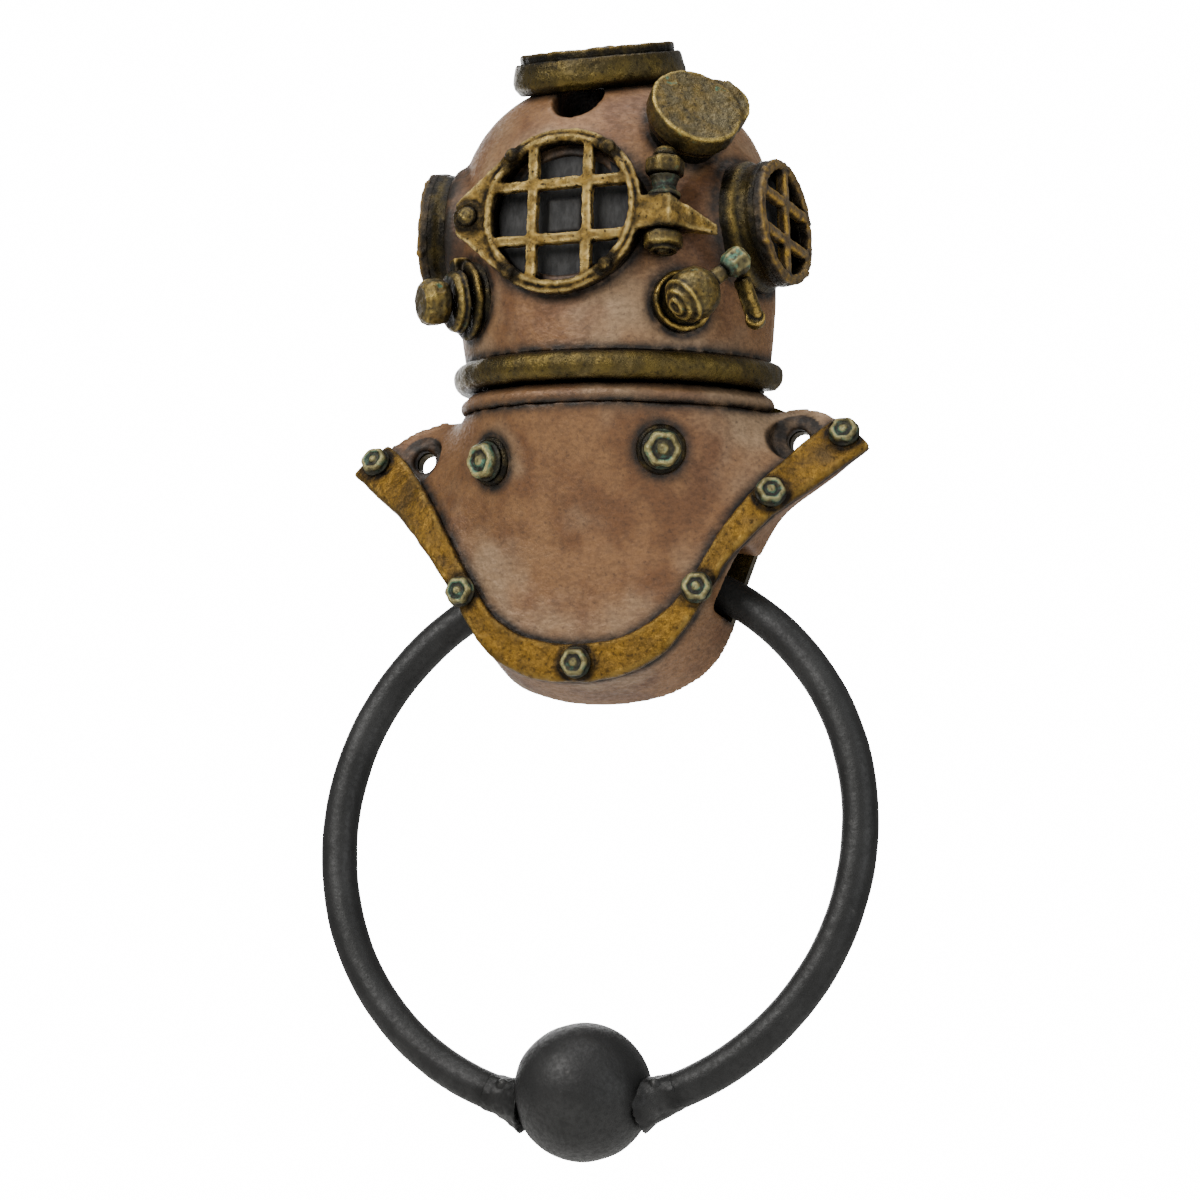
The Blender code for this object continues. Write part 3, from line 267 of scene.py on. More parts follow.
def tidy_normals(obj):
    choose(obj)
    bpy.ops.object.mode_set(mode="EDIT")
    bpy.ops.mesh.select_all(action="SELECT")
    bpy.ops.mesh.remove_doubles(threshold=0.0005)
    bpy.ops.mesh.normals_make_consistent(inside=False)
    bpy.ops.object.mode_set(mode="OBJECT")


def spun(name, profile, place=None, steps=96):
    """Turned piece: (radius, z) points spun about local Z; off the axis, the profile is a closed loop."""
    count = len(profile)
    closed = profile[0][0] > 0.0
    edges = [(i, i + 1) for i in range(count - 1)] + ([(count - 1, 0)] if closed else [])
    obj = new_object(name, [(r, 0.0, z) for r, z in profile], edges, [])
    bpy.ops.object.mode_set(mode="EDIT")
    bpy.ops.mesh.select_all(action="SELECT")
    bpy.ops.mesh.spin(steps=steps, angle=math.tau, center=(0.0, 0.0, 0.0), axis=(0.0, 0.0, 1.0))
    bpy.ops.object.mode_set(mode="OBJECT")
    tidy_normals(obj)
    if place:
        obj.data.transform(place)
    return obj


def drum(name, radius, z0, z1, place=None, top=None, steps=48):
    """Cylinder, or a cone where the top has a radius of its own."""
    top = radius if top is None else top
    return spun(name, [(0.0, z0), (radius, z0), (top, z1), (0.0, z1)], place, steps)


def lofted(name, rows):
    """Closed piece through rows of points; each row is a closed loop."""
    count = len(rows[0])
    verts = [p for row in rows for p in row]
    faces = []
    for a in range(len(rows) - 1):
        for i in range(count):
            here, after = a * count, (a + 1) * count
            onward = (i + 1) % count
            faces.append((here + i, here + onward, after + onward, after + i))
    faces += [tuple(range(count)), tuple(range(len(verts) - 1, len(verts) - count - 1, -1))]
    obj = new_object(name, verts, [], faces)
    tidy_normals(obj)
    choose(obj)
    triangulate = obj.modifiers.new("triangulate", "TRIANGULATE")
    bpy.ops.object.modifier_apply(modifier=triangulate.name)
    return obj


def block(name, size, place=None, bevel=0.3, taper=1.0):
    """Box of a size (x, y, z) in mm about its middle, with bevelled edges; taper narrows its +Z end."""
    bpy.ops.object.select_all(action="DESELECT")
    bpy.ops.mesh.primitive_cube_add(size=1.0)
    obj = bpy.context.object
    obj.name = name
    obj.data.transform(Matrix.Diagonal((*size, 1.0)))
    for vert in obj.data.vertices:
        if vert.co.z > 0.0:
            vert.co.x *= taper
            vert.co.y *= taper
    bpy.ops.object.mode_set(mode="EDIT")
    bpy.ops.mesh.select_all(action="SELECT")
    bpy.ops.mesh.bevel(offset=bevel, segments=3, affect="EDGES")
    bpy.ops.object.mode_set(mode="OBJECT")
    if place:
        obj.data.transform(place)
    return obj


def ball(name, radius, centre, stretch=(1.0, 1.0, 1.0), subdivisions=5):
    bpy.ops.object.select_all(action="DESELECT")
    bpy.ops.mesh.primitive_ico_sphere_add(subdivisions=subdivisions, radius=radius)
    obj = bpy.context.object
    obj.name = name
    obj.data.transform(centre @ Matrix.Diagonal((*stretch, 1.0)))
    return obj


def traced(node, name):
    """Merged copy of a CAD node's mesh, in mm."""
    obj = bpy.data.objects.new(name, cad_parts[node].data.copy())
    bpy.context.scene.collection.objects.link(obj)
    obj.data.transform(Matrix.Scale(1.0 / MM, 4))
    obj.data.materials.clear()
    tidy_normals(obj)
    return obj


def applied(obj, kind, **settings):
    """Add a modifier, set it and apply it."""
    choose(obj)
    modifier = obj.modifiers.new(kind.lower(), kind)
    for key, value in settings.items():
        setattr(modifier, key, value)
    bpy.ops.object.modifier_apply(modifier=modifier.name)


def carve(obj, *tools):
    """Cut tools out of a piece."""
    for tool in tools:
        applied(obj, "BOOLEAN", operation="DIFFERENCE", solver="EXACT", object=tool)
        bpy.data.objects.remove(tool)


def fused(name, *parts):
    """Join overlapping parts into one object; recast() then makes them one skin."""
    bpy.ops.object.select_all(action="DESELECT")
    for part in parts:
        part.select_set(True)
    bpy.context.view_layer.objects.active = parts[0]
    bpy.ops.object.join()
    parts[0].name = name
    parts[0].data.name = name
    return parts[0]


def halved(obj, co, normal):
    """Cut away what lies on the side that the normal points to, and close the cut."""
    choose(obj)
    bpy.ops.object.mode_set(mode="EDIT")
    bpy.ops.mesh.select_all(action="SELECT")
    bpy.ops.mesh.bisect(plane_co=co, plane_no=normal, use_fill=True, clear_outer=True, threshold=0.0001)
    bpy.ops.object.mode_set(mode="OBJECT")


def trimmed_back(obj):
    """Cut a piece off flat at the casting's back."""
    halved(obj, at(0.0, BACK, 0.0), (0.0, 1.0, 0.0))


def recast(obj, grain, soften=3, wobble=0.0, wobble_size=6.0, seed=0.0):
    """Give a piece the soft skin of a casting: remesh, smooth, and hand-made unevenness."""
    applied(obj, "REMESH", mode="VOXEL", voxel_size=grain, use_smooth_shade=True)
    if soften:
        applied(obj, "SMOOTH", factor=0.5, iterations=soften)
    if wobble:
        shift = Vector((seed, seed * 1.7, -seed))
        mesh = obj.data
        points, normals = np.empty(len(mesh.vertices) * 3), np.empty(len(mesh.vertices) * 3)
        mesh.vertices.foreach_get("co", points)
        mesh.vertices.foreach_get("normal", normals)
        push = []
        for point in points.reshape(-1, 3):
            spot = Vector(point) / wobble_size
            push.append(noise.noise(spot + shift) + 0.5 * noise.noise(spot * 2.3 - shift))
        mesh.vertices.foreach_set("co", points + normals * np.repeat(push, 3) * wobble)
        mesh.update()
    return obj


def settle(obj, name, material, body="helmet"):
    """Finish a piece: metres, material, body, and the CAD node of the same name that it stands for."""
    obj.name = name + "_cast"
    obj.data.name = obj.name
    obj.data.transform(Matrix.Scale(MM, 4))
    obj.data.shade_smooth()
    obj.data.materials.clear()
    obj.data.materials.append(bpy.data.materials[material])
    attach(obj, body)
    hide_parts(name)
    PIECES.append(obj)


# -------------------------------------------------------------- materials

def linear(code):
    """Linear RGBA from an sRGB hex colour such as '8c7044'."""
    channels = [int(code[i:i + 2], 16) / 255.0 for i in (0, 2, 4)]
    return [c / 12.92 if c <= 0.04045 else ((c + 0.055) / 1.055) ** 2.4 for c in channels] + [1.0]


def add_node(tree, kind, links=None, values=None, **settings):
    """Add a node: links maps its inputs to other nodes' outputs, values sets its sockets."""
    node = tree.nodes.new(kind)
    for key, value in settings.items():
        setattr(node, key, value)
    for key, value in (values or {}).items():
        node.inputs[key].default_value = value
    for key, output in (links or {}).items():
        tree.links.new(output, node.inputs[key])
    return node


def new_material(name):
    material = bpy.data.materials.new(name)
    material.use_nodes = True
    tree = material.node_tree
    tree.nodes.clear()
    coords = add_node(tree, "ShaderNodeTexCoord").outputs["Object"]
    return material, tree, coords


def grain(tree, coords, size_mm, low, high, stretch=(1.0, 1.0, 1.0), detail=3.0, rough=0.55):
    """Noise of a size in mm, spread so that low..high becomes 0..1."""
    scale = 1.0 / (size_mm * MM)
    mapped = add_node(tree, "ShaderNodeMapping", {"Vector": coords},
                      {"Scale": [scale / s for s in stretch]}).outputs["Vector"]
    value = add_node(tree, "ShaderNodeTexNoise", {"Vector": mapped},
                     {"Scale": 1.0, "Detail": detail, "Roughness": rough}).outputs["Fac"]
    return add_node(tree, "ShaderNodeMapRange", {"Value": value},
                    {"From Min": low, "From Max": high}, interpolation_type="SMOOTHSTEP").outputs["Result"]


def blended(tree, factor, a, b):
    """Colour a where the factor is 0, and b where it is 1."""
    links, values = {"Factor": factor}, {}
    for key, colour in ((6, a), (7, b)):
        if isinstance(colour, str):
            values[key] = linear(colour)
        else:
            links[key] = colour
    return add_node(tree, "ShaderNodeMix", links, values, data_type="RGBA").outputs[2]


def scaled(tree, factor, amount, offset=0.0):
    return add_node(tree, "ShaderNodeMath", {0: factor}, {1: amount, 2: offset},
                    operation="MULTIPLY_ADD", use_clamp=True).outputs[0]


def product(tree, a, b):
    return add_node(tree, "ShaderNodeMath", {0: a, 1: b}, operation="MULTIPLY").outputs[0]


def patina_metal(name, base, patch, dust, wash, rub, metallic, rough, rub_rough,
                 patch_mm=9.0, dust_low=0.50, pits=0.0, pit_mm=0.9, bump=0.25, strokes=(1.0, 1.0, 1.0),
                 fleck=None, fleck_low=0.6, fleck_mm=4.0, grime=1.0, rub_amount=1.0):
    """Painted or plated casting with an antique wash: crevices stay dark with the wash, painted shade from
    the stored mask darkens where pieces meet and inside the screw bores, and edges are rubbed bright.
    """
    material, tree, coords = new_material(name)
    # Mask of the dark antique wash in hollows plus painted shade where pieces meet and inside the screw bores
    wash_and_shade_mask = add_node(tree, "ShaderNodeAttribute", attribute_name="grime").outputs["Fac"]
    edge = add_node(tree, "ShaderNodeAttribute", attribute_name="rub").outputs["Fac"]
    patches = grain(tree, coords, patch_mm, 0.40, 0.62)
    dusty = grain(tree, coords, patch_mm * 2.2, dust_low, dust_low + 0.22)
    fine = grain(tree, coords, 0.9, 0.35, 0.68, strokes)
    colour = blended(tree, patches, base, patch)
    colour = blended(tree, scaled(tree, dusty, 0.75), colour, dust)
    colour = blended(tree, scaled(tree, fine, 0.30), colour, wash)
    if fleck:
        flecks = grain(tree, coords, fleck_mm, fleck_low, fleck_low + 0.10, detail=5.0)
        colour = blended(tree, flecks, colour, fleck)
    rubbed = product(tree, edge, grain(tree, coords, 2.2, 0.30, 0.58))
    colour = blended(tree, scaled(tree, rubbed, rub_amount), colour, rub)
    breakup = grain(tree, coords, 2.6, 0.18, 0.62)
    # Darken with the wash colour: the antique wash in hollows, and painted shade where pieces meet and in the
    # screw bores
    wash_and_shade_amount = product(tree, scaled(tree, wash_and_shade_mask, 1.35 * grime), scaled(tree, breakup, 0.45, 0.55))
    colour = blended(tree, wash_and_shade_amount, colour, wash)
    height = grain(tree, coords, 1.6, 0.2, 0.8, strokes, 6.0, 0.65)
    if pits:
        spots = grain(tree, coords, pit_mm, 0.60, 0.70, detail=2.0)
        colour = blended(tree, scaled(tree, spots, pits), colour, wash)
    roughness = add_node(tree, "ShaderNodeMapRange", {"Value": rubbed},
                         {"To Min": rough, "To Max": rub_rough}).outputs["Result"]
    roughness = add_node(tree, "ShaderNodeMath", {0: roughness, 1: scaled(tree, fine, 0.14)},
                         operation="ADD", use_clamp=True).outputs[0]
    shader = add_node(tree, "ShaderNodeBsdfPrincipled", {"Base Color": colour, "Roughness": roughness},
                      {"Metallic": metallic})
    relief = add_node(tree, "ShaderNodeBump", {"Height": height}, {"Strength": bump, "Distance": 0.0006})
    tree.links.new(relief.outputs["Normal"], shader.inputs["Normal"])
    output = add_node(tree, "ShaderNodeOutputMaterial", {"Surface": shader.outputs["BSDF"]})
    output.target = "ALL"
    return material


def make_materials(colours):
    # Cast resin under copper paint: matte, blotched brown, dry-brushed with pale dust
    patina_metal("Copper paint, antiqued", colours.copper, "694628", colours.dust, "1c150e", "a78a6b",
                 0.30, 0.42, 0.36, patch_mm=11.0, dust_low=0.46, pits=0.30, bump=0.30,
                 strokes=(1.3, 1.3, 0.9), grime=1.1, rub_amount=0.5)
    # Brass paint gone olive: darker, glossy where hands rub it
    patina_metal("Aged brass, olive", colours.brass, "54471f", "6b5f40", "120f09", "a98c46",
                 0.80, 0.27, 0.20, patch_mm=4.0, dust_low=0.56, pits=0.6, bump=0.35, grime=1.2)
    # Brass of the front guard: speckled antique gold over a dark wash
    patina_metal("Antique gold casting", colours.gold, "9a7c3c", "b29a62", "181309", "d9bd78",
                 0.85, 0.32, 0.22, patch_mm=2.4, dust_low=0.54, pits=0.9, pit_mm=1.0, bump=0.7, grime=1.3)
    # Brail strap: the same gold, thinner and brushed along its length
    patina_metal("Brushed gold strap", colours.strap, "8a6722", "54442c", "150f07", "c29f52",
                 0.85, 0.30, 0.22, patch_mm=5.0, dust_low=0.50, pits=0.5, bump=0.45, grime=1.2)
    # Bolts: brass with a teal copper-salt bloom
    patina_metal("Brass with verdigris", "5d5634", "453f26", "66643f", "17150d", "a39660",
                 0.45, 0.42, 0.30, patch_mm=2.2, pits=0.6, bump=0.45,
                 fleck="4d7560", fleck_low=0.48, fleck_mm=2.2)
    # Fittings: olive brass with specks of the same bloom
    patina_metal("Olive brass with bloom", "51472a", "665427", "6a6044", "13100a", "b09750",
                 0.75, 0.28, 0.22, patch_mm=3.0, pits=0.6, bump=0.4, grime=1.15,
                 fleck="456650", fleck_low=0.62, fleck_mm=3.0)
    # Side guards: the gold is dulled to taupe, with gold left on the inner edges
    patina_metal("Taupe over gold", "5e4d36", "6c5a3c", "786a52", "17120b", "c09634",
                 0.55, 0.40, 0.24, patch_mm=2.4, pits=0.5, bump=0.5, grime=1.2)
    # Blind panes: matte charcoal, faintly scratched
    patina_metal("Charcoal pane", "1f1f1f", "191919", "2b2b2a", "0a0a0a", "45443f",
                 0.0, 0.62, 0.55, patch_mm=4.0, pits=0.4, bump=0.3, strokes=(1.0, 1.0, 3.0), rub_amount=0.5)
    # Ring and ball: iron under satin black, scuffed grey
    patina_metal("Satin black iron", colours.iron, "1f1f1f", "303030", "0c0c0c", "4c4b4a",
                 0.45, 0.42, 0.36, patch_mm=7.0, pits=0.15, bump=0.15, rub_amount=0.5,
                 fleck="393837", fleck_low=0.68, fleck_mm=2.5)
    # Zinc-plated steel of the hidden screws
    patina_metal("Zinc-plated steel", "a9a9ac", "9b9b9e", "b5b5b7", "4a4a4c", "cfcfd2",
                 0.9, 0.35, 0.28, bump=0.15)


# ---------------------------------------------------------------- pieces

def screw_cutter(x, z):
    """Stepped hole for a fixing screw: a bore, then the wide seat of its head."""
    profile = [(0.0, -1.0), (SCREW_BORE_D / 2, -1.0), (SCREW_BORE_D / 2, HEAD_SEAT),
               (SCREW_HEAD_D / 2, HEAD_SEAT), (SCREW_HEAD_D / 2, 60.0), (0.0, 60.0)]
    return spun("cutter", profile, placed(at(x, 0.0, z), at(0.0, 1.0, 0.0)), 48)


def side_place(word):
    side, stand, z = SIDE_WINDOWS[word]
    return placed(on_bonnet(side * (90.0 - SIDE_FORWARD), stand, z), facing(side * SIDE_TURN, SIDE_RISE))


def front_place():
    return placed(at(0.0, FRONT_DEPTH, FRONT_Z), facing(0.0, 0.0))


def top_place():
    return placed(at(*TOP_AT), facing(0.0, 90.0 - TOP_TILT))


def bonnet_profile(offset, low):
    crown = CROWN_Z + offset
    heights = [low + (WAIST_Z - low) * i / 9 for i in range(10)]
    heights += [WAIST_Z + (crown - WAIST_Z) * math.sin(math.pi / 2 * i / 16) for i in range(1, 16)]
    return [(bonnet_radius(z, offset), z) for z in heights] + [(0.0, crown)]


def build_bonnet(voxel):
    """Hollow cast bonnet with a copper pad behind each side window and a boss round the top screw."""
    outer, inner = bonnet_profile(0.0, 2.0), bonnet_profile(-BONNET_WALL, 2.0)
    shell = spun("bonnet", [(0.0, CROWN_Z)] + outer[:-1][::-1] + inner, steps=96)
    for vert in shell.data.vertices:
        vert.co += at(bonnet_lean(vert.co.z), BONNET_AXIS_DEPTH, 0.0)
    parts = []
    for word, length in PAD_LENGTH.items():
        parts.append(spun("pad", [(0.0, -15.0), (16.5, -15.0), (14.9, -11.0), (13.7, -length - 1.2),
                                  (13.0, -length), (0.0, -length)], side_place(word), 64))
    front_pad = [(0.0, -12.0), (19.5, -12.0), (17.4, -7.4), (16.8, -6.6), (0.0, -6.6)]
    parts.append(spun("pad", front_pad, front_place(), 64))
    boss_place = placed(at(0.0, 0.0, TOP_SCREW_Z), at(0, 1, 0))
    boss = drum("boss", SCREW_HEAD_D / 2 + BOSS_WALL, 0.0, 30.0, boss_place)
    solid = spun("solid", [(0.0, 2.0)] + bonnet_profile(-0.8, 2.0))
    for vert in solid.data.vertices:
        vert.co += at(bonnet_lean(vert.co.z), BONNET_AXIS_DEPTH, 0.0)
    applied(boss, "BOOLEAN", operation="INTERSECT", solver="EXACT", object=solid)
    bpy.data.objects.remove(solid)
    parts.append(boss)
    for part in parts:
        applied(shell, "BOOLEAN", operation="UNION", solver="EXACT", object=part)
        bpy.data.objects.remove(part)
    port = drum("port", FRONT_OPENING_R - 2.0, -13.5, 2.0, front_place())
    carve(shell, screw_cutter(0.0, TOP_SCREW_Z), port)
    recast(shell, voxel, 4, 0.16, 9.0, 3.0)
    neck = neck_place()
    trimmed_back(shell)
    halved(shell, neck @ Vector((0.0, 0.0, SEAT_H + BEAD_H + GAP)), neck.to_3x3() @ Vector((0.0, 0.0, -1.0)))
    settle(shell, "bonnet", "Copper paint, antiqued")


def build_neck():
    place = neck_place()
    seat = spun("seat", [(NECK_BORE_R, 0.0), (SEAT_R + 0.3, -0.4), (SEAT_R + 0.9, 0.8), (SEAT_R + 0.7, 2.0),
                         (SEAT_R - 0.6, 3.0), (SEAT_R - 1.2, SEAT_H), (NECK_BORE_R, SEAT_H)], place, 144)
    trimmed_back(seat)
    recast(seat, 0.6, 4, 0.12, 6.0, 1.0)
    settle(seat, "neck_seat_ring", "Copper paint, antiqued")
    half = BEAD_H / 2
    bead = [(NECK_BORE_R, 0.0)]
    bead += [(BEAD_R - 2.3 + 2.4 * math.cos(math.radians(a)), half + (half - 0.1) * math.sin(math.radians(a)))
             for a in range(-90, 91, 12)]
    bead += [(BEAD_R - 3.0, BEAD_H), (BEAD_R - 3.2, BEAD_H - 0.5), (BEAD_R - 3.9, BEAD_H - 0.4),
             (BEAD_R - 4.1, BEAD_H + 0.3), (NECK_BORE_R, BEAD_H + 0.2)]
    ring = spun("bead", bead, place @ Matrix.Translation((0.0, 0.0, SEAT_H + GAP)), 144)
    trimmed_back(ring)
    recast(ring, 0.45, 3, 0.14, 5.0, 2.0)
    settle(ring, "neck_bead_ring", "Aged brass, olive")


def groove():
    """Room behind the breastplate for the ring's top to lie in and swing."""
    reach = ROD_D / 2 + 0.7
    rows = []
    for i in range(25):
        x = 33.5 * (i / 12 - 1.0)
        drop = RING_R - math.sqrt(RING_R ** 2 - x ** 2)
        front = HINGE_DEPTH + drop * math.sin(math.radians(SWING)) + reach
        top, bottom = HINGE_Z + reach + 0.6 - drop * 0.30, HINGE_Z - drop - reach - 0.6
        x += RING_X
        rows.append([at(x, 0.0, bottom), at(x, front - 1.5, bottom), at(x, front, bottom + 1.5),
                     at(x, front, top - 1.5), at(x, front - 1.5, top), at(x, 0.0, top)])
    return lofted("groove", rows)


def build_breastplate(voxel):
    """Cast chest with its shoulders, screw holes and the groove behind it."""
    rows = []
    for i in range(81):
        s = -1.0 + 2.0 * i / 80
        front = [breast_point(s, k / 16) for k in range(17)]
        rows.append(front + [breast_back(s, k / 16) for k in range(16, -1, -1)])
    plate = lofted("breastplate", rows)
    carve(plate, groove(), screw_cutter(-SHOULDER_SCREW_X, 0.0), screw_cutter(SHOULDER_SCREW_X, 0.0))
    recast(plate, voxel, 4, 0.22, 12.0, 5.0)
    trimmed_back(plate)
    settle(plate, "breastplate", "Copper paint, antiqued")


def build_strap():
    """Brail strap round the breastplate's rim, with soft corners and a raised outer lip."""
    rows = []
    for i in range(129):
        s = (-1.0 + 2.0 * i / 128) * 0.995
        inner = strap_start(s)
        row = []
        for share, lift in ((0.0, GAP), (1.0, GAP - 0.2), (1.02, 0.9), (0.99, STRAP_T + 0.1),
                            (0.92, STRAP_T + 0.5), (0.7, STRAP_T + 0.55), (0.3, STRAP_T + 0.35),
                            (0.08, STRAP_T + 0.2), (0.0, STRAP_T - 0.3)):
            v = inner + (1.0 - inner) * share
            row.append(breast_point(s, v) + breast_normal(s, min(v, 0.97)) * lift)
        rows.append(row)
    strap = lofted("strap", rows)
    trimmed_back(strap)
    recast(strap, 0.4, 3, 0.20, 5.0, 7.0)
    settle(strap, "brail_strap", "Brushed gold strap")


def bolt_head(name, place, radius, height, shank):
    """Round-cornered hexagon with a sunk face and a domed middle, over a thin collar."""
    outer = []
    for r, z in ((0.0, -shank), (radius * 0.38, -shank), (radius * 0.38, 0.0), (radius * 1.10, 0.0),
                 (radius * 1.12, 0.45), (radius * 0.98, 0.6), (radius * 0.96, height * 0.75),
                 (radius * 0.82, height), (radius * 0.66, height * 0.98), (radius * 0.56, height * 0.82),
                 (radius * 0.34, height * 0.84), (radius * 0.22, height * 1.02), (0.0, height * 1.06)):
        outer.append((r, z))
    head = spun(name, outer, None, 60)
    for vert in head.data.vertices:
        if vert.co.z > 0.5 and vert.co.xy.length > radius * 0.6:
            turn = math.atan2(vert.co.y, vert.co.x)
            vert.co.xy *= 1.0 + 0.045 * math.cos(6.0 * turn)
    head.data.transform(place)
    recast(head, 0.2, 2, 0.10, 1.6, radius + place.translation.x)
    return head


def build_bolts():
    for word, s in BRAIL_BOLTS.items():
        v = (1.0 + strap_start(s)) / 2
        normal = breast_normal(s, v)
        place = placed(breast_point(s, v) + normal * (GAP + STRAP_T * 1.15), normal)
        head = bolt_head("bolt", place, 2.75, 2.1, 3.6)
        settle(head, "brail_bolt_" + word, "Brass with verdigris")


def build_studs():
    """Two large bolts on the chest, each on a dished washer."""
    for word in ("left", "right"):
        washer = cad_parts["chest_washer_" + word].data
        points = [v.co / MM for v in washer.vertices]
        middle = sum(points, Vector()) / len(points)
        normal = sum((f.normal * f.area for f in washer.polygons if f.normal.y < -0.5), Vector()).normalized()
        low = min((p - middle).dot(normal) for p in points)
        place = placed(middle + normal * low, normal)
        dish = [(1.9, 0.0), (4.8, 0.0), (4.9, 0.5), (4.5, 1.0), (4.0, 1.15), (3.4, 0.9), (1.9, 0.9)]
        ring = spun("washer", dish, place, 64)
        recast(ring, 0.22, 2, 0.10, 2.5, 4.0)
        settle(ring, "chest_washer_" + word, "Aged brass, olive")
        stud = bolt_head("stud", place @ Matrix.Translation((0.0, 0.0, 1.2)), 3.55, 2.7, 6.5)
        settle(stud, "chest_stud_" + word, "Brass with verdigris")


def pane(name, place, radius, low, high, pitch, bars):
    """Blind pane: a disc with a raised pad behind each opening of the guard."""
    disc = drum("disc", radius, low, high, place, steps=64)
    pads = []
    columns, rows = bars[0] + 1, bars[1] + 1
    for i in range(columns):
        for j in range(rows):
            x, y = (i - (columns - 1) / 2) * pitch, (j - (rows - 1) / 2) * pitch
            if math.hypot(x, y) < radius - pitch * 0.35:
                pads.append(block("pad", (pitch * 0.66, pitch * 0.66, 1.4),
                                  place @ Matrix.Translation((x * 1.02, y * 1.02, high)), 0.3, 0.9))
    plate = fused("pane", disc, *pads)
    recast(plate, 0.3, 2, 0.10, 3.0, 9.0)
    settle(plate, name, "Charcoal pane")


def guard_rim(place, radius, tube, depth=0.0):
    """Raised bead that follows a guard's edge."""
    profile = [(radius + tube * math.cos(math.radians(a)), depth + tube * math.sin(math.radians(a)))
               for a in range(0, 360, 30)]
    return spun("rim", profile, place, 96)


def bar_caps(place, reach, pitch, bars, width):
    """Half-round strips on the bars, so that they stand proud and look hand-filed."""
    strips = []
    for count, upright in ((bars[0], True), (bars[1], False)):
        for i in range(count):
            offset = (i - (count - 1) / 2) * pitch
            length = 2.0 * math.sqrt(max(reach ** 2 - offset ** 2, 1.0))
            size = (width, length, 1.5) if upright else (length, width, 1.5)
            spot = (offset, 0.0, -0.55) if upright else (0.0, offset, -0.6)
            strips.append(block("bar", size, place @ Matrix.Translation(spot), 0.55))
    return strips


def build_front_window():
    """Barrel, pane, barred guard with its ear and lug, rivets, ear bolt and hinge."""
    place = front_place()
    face = -GUARD_T - GAP
    barrel = spun("barrel", [(12.0, -12.8), (FRONT_R + 0.5, -12.8), (FRONT_R + 0.5, -6.4),
                             (FRONT_R - 0.1, -5.6),
                             (FRONT_R - 0.1, -3.4), (FRONT_R + 0.2, -3.0), (FRONT_R + 0.2, face + 0.5),
                             (FRONT_OPENING_R, face + 0.5), (FRONT_OPENING_R, face - 3.4),
                             (12.0, face - 3.4)], place)
    recast(barrel, 0.4, 2, 0.10, 5.0, 11.0)
    settle(barrel, "front_window_barrel", "Aged brass, olive")
    pane("front_window_pane", place, FRONT_OPENING_R - 0.2, face - 3.0, face - 1.6, FRONT_PITCH, (2, 2))
    guard = traced("front_window_guard", "guard")
    parts = [guard, guard_rim(place, FRONT_OPENING_R + 0.75, 0.55, -0.1)]
    parts += bar_caps(place, FRONT_OPENING_R + 0.4, FRONT_PITCH, (2, 2), BAR_W * 0.95)
    parts.append(spun("cup", [(1.9, -1.5), (3.0, -1.5), (3.0, 0.25), (2.5, 0.45), (1.9, 0.2)],
                      placed(at(-FRONT_R - 2.7, FRONT_DEPTH, FRONT_Z), facing(0.0, 0.0)), 48))
    guard = fused("guard", *parts)
    recast(guard, 0.27, 3, 0.24, 2.6, 13.0)
    settle(guard, "front_window_guard", "Antique gold casting")
    rivet_ring = (FRONT_OPENING_R + FRONT_R + 0.6) / 2
    for number, angle in enumerate((50.0, 130.0, 230.0, 310.0), 1):
        a = math.radians(angle)
        middle = at(rivet_ring * math.cos(a), FRONT_DEPTH, FRONT_Z + rivet_ring * math.sin(a))
        spot = placed(middle, facing(0.0, 0.0))
        rivet = spun("rivet", [(0.0, -1.6), (0.6, -1.6), (0.6, -0.1), (1.45, -0.1), (1.5, 0.35), (1.15, 0.95),
                               (0.6, 1.25), (0.0, 1.32)], spot, 40)
        recast(rivet, 0.14, 2, 0.08, 1.0, 1.0 + number)
        settle(rivet, "front_rivet_%d" % number, "Antique gold casting")
    ear = placed(at(-FRONT_R - 2.7, FRONT_DEPTH, FRONT_Z), facing(0.0, 0.0))
    bolt = spun("ear", [(0.0, -3.0), (0.8, -3.0), (0.8, 0.1), (1.95, 0.1), (2.0, 0.6), (1.6, 1.3),
                        (0.8, 1.75),
                        (0.0, 1.85)], ear, 48)
    recast(bolt, 0.15, 2, 0.12, 1.2, 6.0)
    settle(bolt, "front_ear_bolt", "Olive brass with bloom")
    build_hinge()


def hexagonal(profile, place, across_corners, name="nut"):
    """Turned profile whose wide part is drawn out to a hexagon with softened corners."""
    nut = spun(name, profile, None, 72)
    for vert in nut.data.vertices:
        reach = vert.co.xy.length
        if reach > across_corners * 0.36:
            turn = math.atan2(vert.co.y, vert.co.x)
            wedge = (turn + math.pi / 6.0) % (math.pi / 3.0) - math.pi / 6.0
            flat = across_corners / 2.0 * math.cos(math.pi / 6.0) / math.cos(wedge)
            vert.co.xy *= min(flat, across_corners * 0.475) / (across_corners * 0.433) * 0.98
    nut.data.transform(place)
    return nut


